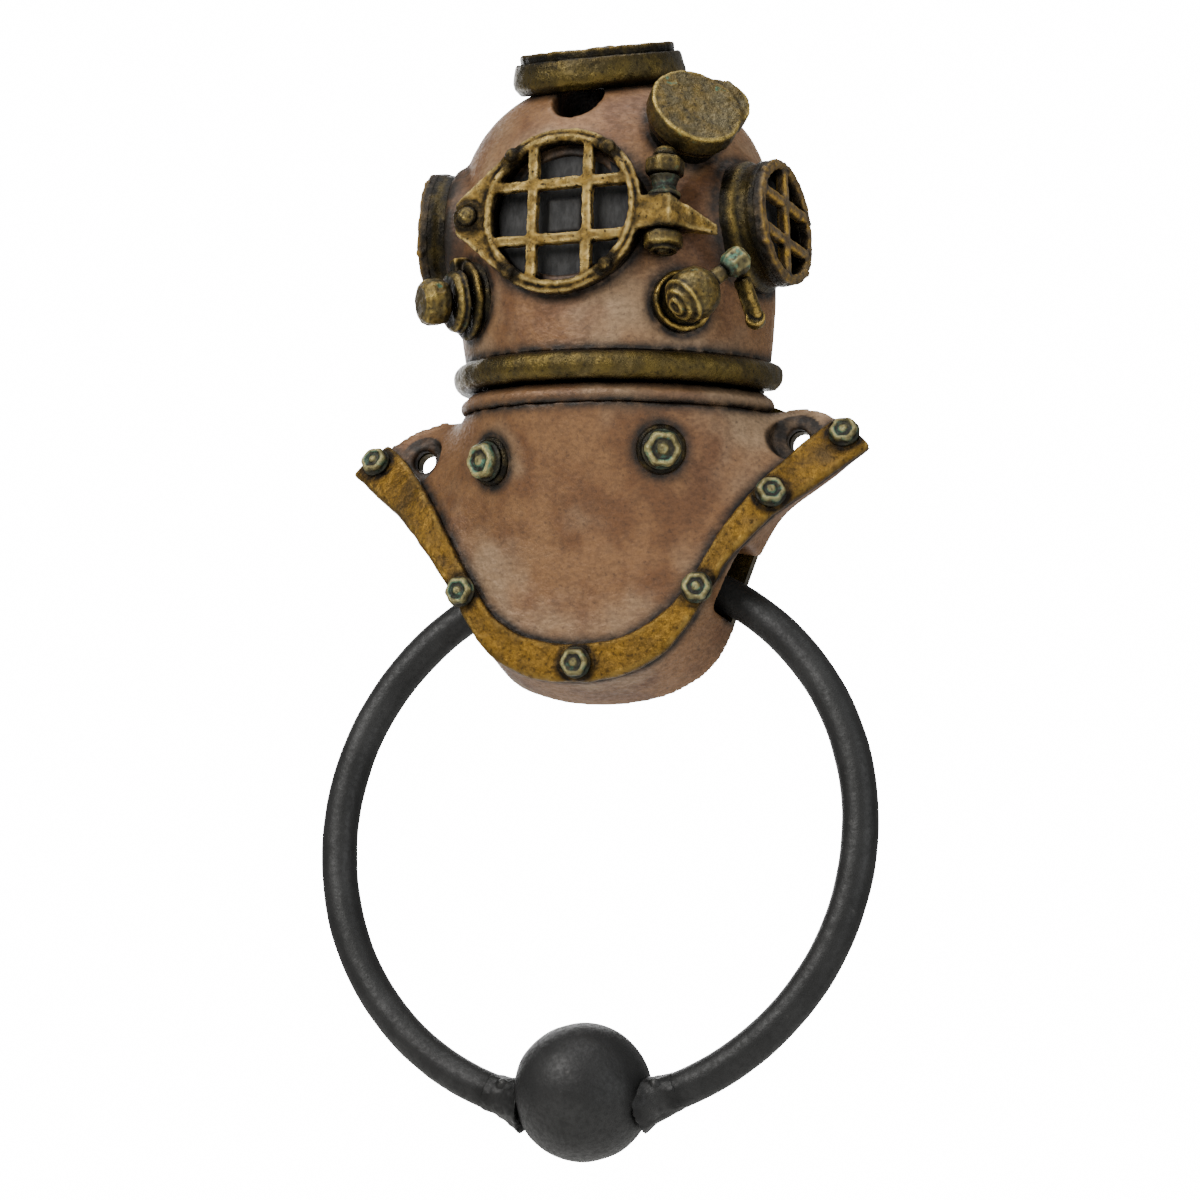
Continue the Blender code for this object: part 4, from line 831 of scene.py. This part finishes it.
def build_hinge():
    """Window hinge: domed bolt, hexagon nut, waisted spool, and a round-cornered nut below."""
    x, depth = FRONT_R + 4.1, FRONT_DEPTH - 3.6
    lug_low, lug_high = FRONT_Z - 4.8, FRONT_Z + 1.6
    top = FRONT_Z + 11.6
    pin = Matrix.Translation(at(x, depth, 0.0))
    bolt = spun("bolt", [(0.0, FRONT_Z - 9.2), (1.0, FRONT_Z - 9.2), (1.5, FRONT_Z - 8.4), (1.5, top - 1.6),
                         (2.3, top - 1.6), (2.35, top - 1.0), (1.9, top - 0.1), (1.0, top + 0.45),
                         (0.0, top + 0.5)],
                pin, 48)
    recast(bolt, 0.16, 2, 0.08, 1.5, 2.0)
    settle(bolt, "front_hinge_bolt", "Olive brass with bloom")
    upper = top - 1.6 - GAP - 3.4
    nut = hexagonal([(1.8, upper), (3.3, upper), (3.5, upper + 0.5), (3.5, upper + 2.8), (3.1, upper + 3.4),
                     (1.8, upper + 3.4)], pin, 8.0)
    recast(nut, 0.18, 2, 0.10, 2.0, 3.0)
    settle(nut, "front_hinge_nut_upper", "Olive brass with bloom")
    low, high = lug_high + GAP, upper - GAP
    spool = spun("spool", [(1.8, low), (3.1, low), (3.15, low + 0.6), (2.5, low + 1.2),
                           (2.2, (low + high) / 2),
                           (2.5, high - 0.7), (2.9, high - 0.3), (2.9, high), (1.8, high)], pin, 48)
    recast(spool, 0.16, 2, 0.12, 1.6, 4.0)
    settle(spool, "front_hinge_spool", "Brass with verdigris")
    high = lug_low - GAP
    lower = spun("lower", [(1.8, high - 3.9), (2.6, high - 3.9), (2.7, high - 3.2), (3.2, high - 3.0),
                           (3.75, high - 2.6), (3.8, high - 0.9), (3.4, high - 0.2), (1.8, high)], pin, 48)
    recast(lower, 0.18, 2, 0.12, 2.0, 5.0)
    settle(lower, "front_hinge_nut_lower", "Olive brass with bloom")


def build_side_windows():
    for word in ("right", "left"):
        place = side_place(word)
        face = -GUARD_T - GAP
        barrel = spun("barrel", [(8.4, -12.0), (SIDE_R + 0.6, -12.0), (SIDE_R + 0.6, -6.4),
                                 (SIDE_R + 0.2, -5.8),
                                 (SIDE_R - 0.3, -5.5), (SIDE_R - 0.3, -3.6), (SIDE_R, -3.2),
                                 (SIDE_R, face + 0.6),
                                 (SIDE_OPENING_R, face + 0.6), (SIDE_OPENING_R, face - 3.2),
                                 (8.4, face - 3.2)], place)
        trimmed_back(barrel)
        recast(barrel, 0.35, 2, 0.14, 4.0, 21.0)
        settle(barrel, word + "_window_barrel", "Aged brass, olive")
        pane(word + "_window_pane", place, SIDE_OPENING_R - 0.2, face - 2.8, face - 1.4, SIDE_PITCH, (1, 2))
        guard = traced(word + "_window_guard", "guard")
        rim_bead = guard_rim(place, SIDE_OPENING_R + 0.9, 0.75, -0.4)
        trimmed_back(rim_bead)
        parts = [guard, rim_bead] + bar_caps(place, SIDE_OPENING_R + 0.4, SIDE_PITCH, (1, 2), BAR_W * 1.05)
        for angle in (15.0, -40.0, 140.0, 215.0):
            a = math.radians(angle if word == "right" else 180.0 - angle)
            spot = Matrix.Translation((SIDE_R * 0.96 * math.cos(a), SIDE_R * 0.96 * math.sin(a), -0.6))
            parts.append(ball("stud", 1.0, place @ spot, subdivisions=3))
        guard = fused("guard", *parts)
        trimmed_back(guard)
        recast(guard, 0.27, 3, 0.20, 2.6, 23.0)
        settle(guard, word + "_window_guard", "Taupe over gold")


def build_top_light():
    """Tapered drum saddled on the crown, with its pane and guard."""
    place = top_place()
    face = -GUARD_T - GAP
    barrel = spun("barrel", [(0.0, -8.0), (TOP_BASE_R - 1.4, -8.0), (TOP_BASE_R - 0.2, -6.6),
                             (TOP_BASE_R, -5.4),
                             (TOP_R + 0.3, face - 0.1), (TOP_R, face + 0.6), (TOP_OPENING_R, face + 0.6),
                             (TOP_OPENING_R, face - 1.9), (0.0, face - 1.9)], place)
    recast(barrel, 0.42, 2, 0.16, 5.0, 31.0)
    trimmed_back(barrel)
    settle(barrel, "top_light_barrel", "Aged brass, olive")
    pane("top_light_pane", place, TOP_OPENING_R - 0.2, face - 1.8, face - 0.6, TOP_PITCH, (2, 2))
    guard = traced("top_light_guard", "guard")
    parts = [guard, guard_rim(place, TOP_GUARD_R - 0.8, 0.8, -1.0)]
    parts += bar_caps(place, TOP_GUARD_R, TOP_PITCH, (2, 2), BAR_W * 1.1)
    guard = fused("guard", *parts)
    recast(guard, 0.3, 3, 0.22, 3.0, 33.0)
    trimmed_back(guard)
    settle(guard, "top_light_guard", "Aged brass, olive")


def build_cup():
    """Flat transceiver cup with a side lobe, on a stepped seat."""
    place = placed(on_bonnet(*CUP_AT), facing(*CUP_FACING))
    cup = traced("transceiver_cup", "cup")
    lip = spun("lip", [(CUP_R - 1.0, -0.9), (CUP_R - 0.05, -0.9), (CUP_R - 0.05, -0.2), (CUP_R - 0.35, 0.12),
                       (CUP_R - 0.8, 0.0)], place, 72)
    wedge = block("wedge", (5.0, 6.4, 3.0), place @ Matrix.Translation((8.2, 5.4, -2.0))
                  @ Matrix.Rotation(math.radians(38.0), 4, "Z"), 0.7)
    cup = fused("cup", cup, lip, wedge)
    recast(cup, 0.3, 3, 0.14, 4.0, 41.0)
    settle(cup, "transceiver_cup", "Olive brass with bloom")
    seat = spun("seat", [(0.0, -13.0), (7.2, -13.0), (7.2, -CUP_H - 2.4), (8.1, -CUP_H - 1.9),
                         (8.3, -CUP_H - GAP),
                         (0.0, -CUP_H - GAP)], place, 72)
    recast(seat, 0.35, 3, 0.15, 4.0, 43.0)
    settle(seat, "transceiver_seat", "Aged brass, olive")


def build_exhaust():
    """Exhaust valve: ridged flange, stepped body, ribbed knob, and a square lug on top."""
    place = placed(on_bonnet(*EXHAUST_AT), facing(*EXHAUST_FACING))
    flange = spun("flange", [(0.0, -8.5), (7.9, -8.5), (7.9, -2.6), (7.3, -2.2), (7.3, -1.7), (7.8, -1.3),
                             (7.7, -0.5), (6.9, -0.1), (0.0, 0.0)], place, 72)
    lug = block("lug", (3.4, 3.4, 3.6), place @ Matrix.Translation((0.8, 6.7, -0.2)), 0.5)
    flange = fused("flange", flange, lug)
    recast(flange, 0.3, 2, 0.16, 3.0, 51.0)
    settle(flange, "exhaust_flange", "Aged brass, olive")
    body = spun("body", [(0.0, GAP), (6.2, GAP), (6.4, 0.9), (5.9, 1.3), (5.9, 1.6), (6.0, 2.1),
                         (5.2, 2.9), (0.0, 2.9)],
                place, 72)
    recast(body, 0.25, 2, 0.14, 2.4, 53.0)
    settle(body, "exhaust_body", "Olive brass with bloom")
    knob = spun("knob", [(0.0, 3.2), (3.6, 3.2), (4.2, 3.9), (4.55, 5.2), (4.5, 7.2), (4.1, 8.2), (3.2, 8.75),
                         (0.0, 8.8)], None, 72)
    for vert in knob.data.vertices:
        if vert.co.xy.length > 3.8:
            vert.co.xy *= 1.0 + 0.028 * math.cos(9.0 * math.atan2(vert.co.y, vert.co.x))
    knob.data.transform(place)
    recast(knob, 0.22, 2, 0.16, 2.4, 55.0)
    settle(knob, "exhaust_knob", "Olive brass with bloom")


def build_spitcock():
    """Spitcock: rimmed seat, ball with three ribs and a stem, faceted knob and a flat lever."""
    base, normal = on_bonnet(*COCK_AT), facing(*COCK_FACING)
    place = placed(base, normal)
    seat = spun("seat", [(0.0, -8.0), (5.9, -8.0), (6.0, -0.7), (5.8, -0.1), (5.2, 0.1), (4.9, -0.5),
                         (0.0, -0.5)],
                place, 64)
    recast(seat, 0.25, 2, 0.14, 3.0, 61.0)
    settle(seat, "spitcock_seat", "Aged brass, olive")
    centre = base + normal * (COCK_BALL_R + 0.4)
    knob_centre = on_bonnet(*COCK_KNOB_AT)
    along = (knob_centre - centre).normalized()
    parts = [ball("ball", COCK_BALL_R, Matrix.Translation(centre)),
             drum("stem", 1.9, 0.0, (knob_centre - centre).length - 3.2, placed(centre, along), 1.6)]
    ribs = placed(centre, facing(-46.0, -40.0))
    for tilt, reach in ((0.0, 4.2), (0.0, 2.9), (0.0, 1.4)):
        lift = COCK_BALL_R * math.cos(math.asin(min(reach / COCK_BALL_R, 1.0)))
        profile = [(reach + 0.5 * math.cos(math.radians(a)), lift - 0.1 + 0.5 * math.sin(math.radians(a)))
                   for a in range(0, 360, 45)]
        parts.append(spun("rib", profile, ribs @ Matrix.Translation((-tilt, -tilt, 0.0)), 48))
    cock = fused("cock", *parts)
    recast(cock, 0.22, 2, 0.14, 2.4, 63.0)
    settle(cock, "spitcock_ball", "Olive brass with bloom")
    knob = spun("knob", [(0.0, -2.8), (1.6, -2.8), (2.7, -1.5), (2.9, 0.0), (2.7, 1.5), (1.6, 2.5),
                         (0.0, 2.7)],
                placed(knob_centre, along), 8)
    recast(knob, 0.2, 2, 0.14, 1.8, 65.0)
    settle(knob, "spitcock_knob", "Brass with verdigris")
    tip = on_bonnet(*LEVER_AT)
    down = (tip - knob_centre).normalized()
    start = knob_centre + down * 3.2
    length = (tip - start).length
    blade = placed(start, down) @ Matrix.Translation((0.0, 0.0, length / 2))
    lever = block("lever", (3.4, 2.0, length), blade, 0.7)
    spine = block("spine", (2.2, 1.6, length * 0.8), blade @ Matrix.Translation((0.6, 1.4, 0.4)), 0.5)
    pad = drum("pad", 1.9, -1.0, 1.0, placed(tip, Vector((0.3, -1.0, 0.2))))
    lever = fused("lever", lever, spine, pad)
    recast(lever, 0.2, 2, 0.14, 2.0, 67.0)
    settle(lever, "spitcock_lever", "Aged brass, olive")


def ring_point(degrees):
    a = math.radians(degrees)
    return Vector((RING_R * math.sin(a), 0.0, -RING_R * (1.0 + math.cos(a))))


def rod_arc(name, start, end, steps, size, facets=28):
    """Rod along the ring; size gives its radius at a share of the way."""
    rows = []
    for i in range(steps + 1):
        middle = ring_point(start + (end - start) * i / steps)
        out = (middle + Vector((0.0, 0.0, RING_R))).normalized()
        radius = size(i / steps)
        rows.append([middle + radius * (out * math.cos(math.tau * k / facets)
                                        + Vector((0.0, 1.0, 0.0)) * math.sin(math.tau * k / facets))
                     for k in range(facets)])
    return lofted(name, rows)


def build_ring():
    """Iron ring with a slightly uneven rod, the striker ball, and the weld on each side of it."""
    place = ring_place()
    centre = Vector((BALL_SHIFT, 0.0, BALL_LIFT - 2.0 * RING_R))
    edges = {}
    for side in (1.0, -1.0):
        angle = 0.0
        while (ring_point(side * angle) - centre).length < BALL_R + GAP:
            angle += 0.25
        edges[side] = angle
    bead = math.degrees(WELD_LENGTH / RING_R)
    gap = math.degrees(GAP / RING_R)
    start, end = edges[1.0] + bead + gap, 360.0 - edges[-1.0] - bead - gap
    ring = rod_arc("ring", start, end, 260, lambda share: ROD_D / 2)
    ring.data.transform(place)
    recast(ring, 0.55, 2, 0.10, 10.0, 71.0)
    settle(ring, "knocker_ring", "Satin black iron", "ring")
    striker = ball("striker", BALL_R, place @ Matrix.Translation(centre), subdivisions=6)
    recast(striker, 0.45, 2, 0.22, 9.0, 73.0)
    settle(striker, "striker_ball", "Satin black iron", "ring")
    for side, word in ((1.0, "right"), (-1.0, "left")):
        def flare(share):
            return ROD_D / 2 + 0.12 + 2.3 * (1.0 - share) ** 2.6
        weld = rod_arc("weld", side * (edges[side] - 2.5), side * (edges[side] + bead + 1.4), 18, flare)
        weld.data.transform(place)
        lumps = [ball("lump", 1.1, place @ Matrix.Translation(ring_point(side * (edges[side] + 2.0))
                                                               + Vector((0.0, depth, rise))), subdivisions=3)
                 for depth, rise in ((-3.0, 2.0), (-2.4, -2.6), (2.8, 0.6))]
        weld = fused("weld", weld, *lumps)
        recast(weld, 0.3, 3, 0.25, 2.2, 75.0 + side)
        settle(weld, "weld_bead_" + word, "Satin black iron", "ring")


def finish_back():
    """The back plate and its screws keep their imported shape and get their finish."""
    for node, name in [("back_plate", "Aged brass, olive")] + \
                      [("back_plate_screw_%d" % i, "Zinc-plated steel") for i in range(1, 5)]:
        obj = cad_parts[node]
        for slot in obj.material_slots:
            slot.material = bpy.data.materials[name]


# ----------------------------------------------------------------- patina and painted shade

def hollowness(mesh):
    """How sharply the surface folds inward (above 0) or outward (below 0) at each vertex, per mm."""
    count = len(mesh.vertices)
    points, normals = np.empty(count * 3), np.empty(count * 3)
    ends = np.empty(len(mesh.edges) * 2, dtype=np.int64)
    mesh.vertices.foreach_get("co", points)
    mesh.vertices.foreach_get("normal", normals)
    mesh.edges.foreach_get("vertices", ends)
    points, normals, ends = points.reshape(-1, 3), normals.reshape(-1, 3), ends.reshape(-1, 2)
    a, b = ends[:, 0], ends[:, 1]
    step = points[b] - points[a]
    size = np.maximum(np.linalg.norm(step, axis=1), 1e-9)
    both = np.concatenate((a, b))
    rise = np.concatenate(((step * normals[a]).sum(1), -(step * normals[b]).sum(1)))
    links = np.maximum(np.bincount(both, minlength=count), 1)
    fold = np.bincount(both, rise / np.tile(size, 2) ** 2, count) / links * MM
    for _ in range(4):
        fold = (fold + np.bincount(a, fold[b], count) + np.bincount(b, fold[a], count)) / (links + 1)
    return points, fold


def patina(reach_mm):
    """Store on each piece how much dark wash and painted shade, and how much rubbing, every point gets.

    The antique wash gathers in hollows; painted shade darkens where another piece comes within reach_mm and
    inside the screw bores; edges are rubbed.
    """
    reach = reach_mm * MM
    trees = []
    for piece in PIECES:
        mesh = piece.data
        points = np.empty(len(mesh.vertices) * 3)
        mesh.vertices.foreach_get("co", points)
        points = points.reshape(-1, 3)
        tree = BVHTree.FromPolygons([v.co for v in mesh.vertices], [p.vertices[:] for p in mesh.polygons])
        trees.append((tree, points.min(0) - reach, points.max(0) + reach))
    for number, piece in enumerate(PIECES):
        points, fold = hollowness(piece.data)
        painted_shade = np.zeros(len(points))
        # Painted shade: how near each point lies to another piece
        for other, (tree, low, high) in enumerate(trees):
            if other == number:
                continue
            for i in np.nonzero(((points > low) & (points < high)).all(1))[0]:
                hit = tree.find_nearest(Vector(points[i]), reach)
                if hit[0] is not None:
                    painted_shade[i] = max(painted_shade[i], 1.0 - hit[3] / reach)
        # Painted shade inside the screw bores: the seats and walls of the fixing-screw holes are darkened
        if piece.name in ("bonnet_cast", "breastplate_cast"):
            for x, z in ((0.0, TOP_SCREW_Z), (-SHOULDER_SCREW_X, 0.0), (SHOULDER_SCREW_X, 0.0)):
                off_axis = np.hypot(points[:, 0] / MM - x, points[:, 2] / MM - z)
                inside = np.clip((SCREW_HEAD_D / 2 + 0.35 - off_axis) / 0.5, 0.0, 1.0)
                painted_shade = np.maximum(painted_shade, inside)
        # Antique wash in the hollows, plus painted shade near other pieces and inside the screw bores
        grime = np.clip(np.clip(fold * FOLD_GAIN, 0.0, 1.0) + painted_shade ** 1.3, 0.0, 1.0)
        rub = np.clip(-fold * FOLD_GAIN - 0.15, 0.0, 1.0) * (1.0 - painted_shade)
        for word, values in (("grime", grime), ("rub", rub)):
            layer = piece.data.attributes.new(word, "FLOAT", "POINT")
            layer.data.foreach_set("value", values.astype(np.float32))


# ------------------------------------------------------------------ stage

def aim(obj, target):
    obj.rotation_euler = (target - obj.location).to_track_quat("-Z", "Y").to_euler()


def soft_light(name, place, size, watts, colour=(1.0, 1.0, 1.0)):
    """Square studio softbox that looks at the helmet."""
    data = bpy.data.lights.new(name, "AREA")
    data.shape = "SQUARE"
    data.size = size
    data.energy = watts
    data.color = colour
    light = bpy.data.objects.new(name, data)
    bpy.context.scene.collection.objects.link(light)
    light.location = place
    aim(light, Vector((0.0, -0.01, 0.0)))
    return light


def build_stage(look):
    bpy.ops.object.select_all(action="DESELECT")
    bpy.ops.mesh.primitive_plane_add(size=6.0, location=(0.0, 0.0, 0.0))
    floor = bpy.context.object
    floor.name = "floor"
    floor.data.transform(Matrix.Translation((0.0, 0.0, look.floor_z)))
    pale = bpy.data.materials.new("Pale matte floor")
    pale.use_nodes = True
    shader = pale.node_tree.nodes["Principled BSDF"]
    shader.inputs["Base Color"].default_value = linear("e9e8e6")
    shader.inputs["Roughness"].default_value = 0.85
    floor.data.materials.append(pale)
    soft_light("key", (-0.35, -0.75, 0.45), 0.55, look.key_watts, (1.0, 0.985, 0.96))
    soft_light("fill", (0.75, -0.45, 0.15), 0.7, look.fill_watts, (0.97, 0.985, 1.0))
    soft_light("top", (0.05, -0.15, 0.85), 0.6, look.top_watts)
    soft_light("back", (-0.45, 0.8, 0.3), 0.7, look.back_watts)
    world = bpy.data.worlds.new("Pale studio")
    bpy.context.scene.world = world
    world.use_nodes = True
    tree = world.node_tree
    tree.nodes.clear()
    seen = add_node(tree, "ShaderNodeLightPath").outputs["Is Camera Ray"]
    light = add_node(tree, "ShaderNodeBackground", None,
                     {"Color": linear("f4f4f2"), "Strength": look.ambient})
    white = add_node(tree, "ShaderNodeBackground", None,
                     {"Color": (1.0, 1.0, 1.0, 1.0), "Strength": look.white})
    mixed = add_node(tree, "ShaderNodeMixShader", {0: seen, 1: light.outputs[0], 2: white.outputs[0]})
    add_node(tree, "ShaderNodeOutputWorld", {"Surface": mixed.outputs[0]})

    data = bpy.data.cameras.new("camera")
    data.lens = CAMERA_LENS
    data.sensor_width = 36.0
    data.clip_end = 20.0
    camera = bpy.data.objects.new("camera", data)
    bpy.context.scene.collection.objects.link(camera)
    bpy.context.scene.camera = camera
    out = facing(CAMERA_TURN, CAMERA_RISE)
    right = Vector((0.0, 0.0, 1.0)).cross(out).normalized()
    up = out.cross(right)
    roll = math.radians(CAMERA_ROLL)
    across = right * math.cos(roll) + up * math.sin(roll)
    above = up * math.cos(roll) - right * math.sin(roll)
    turn = Matrix((across, above, out)).transposed().to_4x4()
    camera.matrix_world = Matrix.Translation((Vector(CAMERA_AIM) + out * CAMERA_DISTANCE) * MM) @ turn


# -------------------------------------------------------------- the add-on

class KnockerLook(bpy.types.PropertyGroup):
    """Sizes and colours that a user would change."""
    bonnet_grain: bpy.props.FloatProperty(
        name="Bonnet grain", description="Voxel size of the bonnet's skin, in mm", default=0.6, min=0.3,
        max=2.0)
    chest_grain: bpy.props.FloatProperty(
        name="Chest grain", description="Voxel size of the breastplate's skin, in mm", default=0.65,
        min=0.3, max=2.0)
    # How far the painted shade spreads out from where another piece comes near, in mm
    painted_shade_reach: bpy.props.FloatProperty(
        name="Painted shade reach", description="How far dark wash spreads from a neighbour, in mm", default=2.6,
        min=0.2)
    copper: bpy.props.StringProperty(
        name="Copper", description="sRGB hex of the copper paint", default="825d3a")
    dust: bpy.props.StringProperty(
        name="Dust", description="sRGB hex of the dry-brushed dust", default="a58a6b")
    brass: bpy.props.StringProperty(name="Brass", description="sRGB hex of the aged brass", default="40371c")
    gold: bpy.props.StringProperty(name="Gold", description="sRGB hex of the front guard", default="6f5a2e")
    strap: bpy.props.StringProperty(name="Strap", description="sRGB hex of the brail strap", default="705420")
    iron: bpy.props.StringProperty(name="Iron", description="sRGB hex of the ring and ball", default="262626")
    floor_z: bpy.props.FloatProperty(
        name="Floor", description="Height of the floor", default=-0.30, unit="LENGTH")
    key_watts: bpy.props.FloatProperty(
        name="Key", description="Power of the key light", default=9.5, unit="POWER")
    fill_watts: bpy.props.FloatProperty(
        name="Fill", description="Power of the fill light", default=3.2, unit="POWER")
    top_watts: bpy.props.FloatProperty(
        name="Top", description="Power of the top light", default=5.0, unit="POWER")
    back_watts: bpy.props.FloatProperty(
        name="Back", description="Power of the back light", default=5.0, unit="POWER")
    ambient: bpy.props.FloatProperty(
        name="Ambient", description="Strength of the pale surroundings", default=0.36)
    white: bpy.props.FloatProperty(
        name="Backdrop", description="Brightness of the seen backdrop", default=16.0)


class KnockerStep:
    """What the operators share."""
    bl_options = {"REGISTER", "UNDO"}


class KNOCKER_OT_materials(KnockerStep, bpy.types.Operator):
    """Make the finishes: antiqued copper paint, aged brass, antique gold, verdigris and black iron"""
    bl_idname = "knocker.materials"
    bl_label = "Finishes"

    def execute(self, context):
        make_materials(context.scene.knocker_look)
        return {"FINISHED"}


class KNOCKER_OT_bonnet(KnockerStep, bpy.types.Operator):
    """Cast the bonnet"""
    bl_idname = "knocker.bonnet"
    bl_label = "Bonnet"

    def execute(self, context):
        build_bonnet(context.scene.knocker_look.bonnet_grain)
        return {"FINISHED"}


class KNOCKER_OT_neck(KnockerStep, bpy.types.Operator):
    """Turn the seat ring and the beaded ring of the neck"""
    bl_idname = "knocker.neck"
    bl_label = "Neck rings"

    def execute(self, context):
        build_neck()
        return {"FINISHED"}


class KNOCKER_OT_breastplate(KnockerStep, bpy.types.Operator):
    """Cast the breastplate"""
    bl_idname = "knocker.breastplate"
    bl_label = "Breastplate"

    def execute(self, context):
        build_breastplate(context.scene.knocker_look.chest_grain)
        return {"FINISHED"}


class KNOCKER_OT_strap(KnockerStep, bpy.types.Operator):
    """Bend the brail strap round the rim and set its bolts and the chest studs"""
    bl_idname = "knocker.strap"
    bl_label = "Strap, bolts and studs"

    def execute(self, context):
        build_strap()
        build_bolts()
        build_studs()
        return {"FINISHED"}


class KNOCKER_OT_front_window(KnockerStep, bpy.types.Operator):
    """Build the front window with its guard, rivets and hinge"""
    bl_idname = "knocker.front_window"
    bl_label = "Front window"

    def execute(self, context):
        build_front_window()
        return {"FINISHED"}


class KNOCKER_OT_other_windows(KnockerStep, bpy.types.Operator):
    """Build the side windows and the top light"""
    bl_idname = "knocker.other_windows"
    bl_label = "Side windows and top light"

    def execute(self, context):
        build_side_windows()
        build_top_light()
        return {"FINISHED"}


class KNOCKER_OT_fittings(KnockerStep, bpy.types.Operator):
    """Build the transceiver cup, the exhaust valve and the spitcock"""
    bl_idname = "knocker.fittings"
    bl_label = "Fittings"

    def execute(self, context):
        build_cup()
        build_exhaust()
        build_spitcock()
        return {"FINISHED"}


class KNOCKER_OT_ring(KnockerStep, bpy.types.Operator):
    """Forge the ring, the striker ball and its welds"""
    bl_idname = "knocker.ring"
    bl_label = "Ring and ball"

    def execute(self, context):
        build_ring()
        return {"FINISHED"}


class KNOCKER_OT_finish(KnockerStep, bpy.types.Operator):
    """Finish the back plate, age every piece and lay painted shade where pieces meet and in the screw bores
    """
    bl_idname = "knocker.finish"
    bl_label = "Back plate and patina"

    def execute(self, context):
        finish_back()
        patina(context.scene.knocker_look.painted_shade_reach)
        return {"FINISHED"}


class KNOCKER_OT_stage(KnockerStep, bpy.types.Operator):
    """Set the pale floor, the soft lights and the camera"""
    bl_idname = "knocker.stage"
    bl_label = "Stage"

    def execute(self, context):
        build_stage(context.scene.knocker_look)
        return {"FINISHED"}


STEPS = (KNOCKER_OT_stage, KNOCKER_OT_materials, KNOCKER_OT_bonnet, KNOCKER_OT_neck, KNOCKER_OT_breastplate,
         KNOCKER_OT_strap, KNOCKER_OT_front_window, KNOCKER_OT_other_windows, KNOCKER_OT_fittings,
         KNOCKER_OT_ring, KNOCKER_OT_finish)


class KNOCKER_PT_panel(bpy.types.Panel):
    """Lists the steps in the sidebar"""
    bl_idname = "KNOCKER_PT_panel"
    bl_label = "Diving helmet knocker"
    bl_space_type = "VIEW_3D"
    bl_region_type = "UI"
    bl_category = "Knocker"

    def draw(self, context):
        look = context.scene.knocker_look
        for name in look.bl_rna.properties.keys():
            if name not in ("rna_type", "name"):
                self.layout.prop(look, name)
        for step in STEPS:
            self.layout.operator(step.bl_idname)


CLASSES = (KnockerLook,) + STEPS + (KNOCKER_PT_panel,)


def register():
    for cls in CLASSES:
        bpy.utils.register_class(cls)
    bpy.types.Scene.knocker_look = bpy.props.PointerProperty(type=KnockerLook)


def unregister():
    del bpy.types.Scene.knocker_look
    for cls in reversed(CLASSES):
        bpy.utils.unregister_class(cls)


def main():
    register()
    bpy.ops.knocker.stage()
    bpy.ops.knocker.materials()
    bpy.ops.knocker.bonnet()
    bpy.ops.knocker.neck()
    bpy.ops.knocker.breastplate()
    bpy.ops.knocker.strap()
    bpy.ops.knocker.front_window()
    bpy.ops.knocker.other_windows()
    bpy.ops.knocker.fittings()
    bpy.ops.knocker.ring()
    bpy.ops.knocker.finish()


if __name__ == "__main__":
    main()
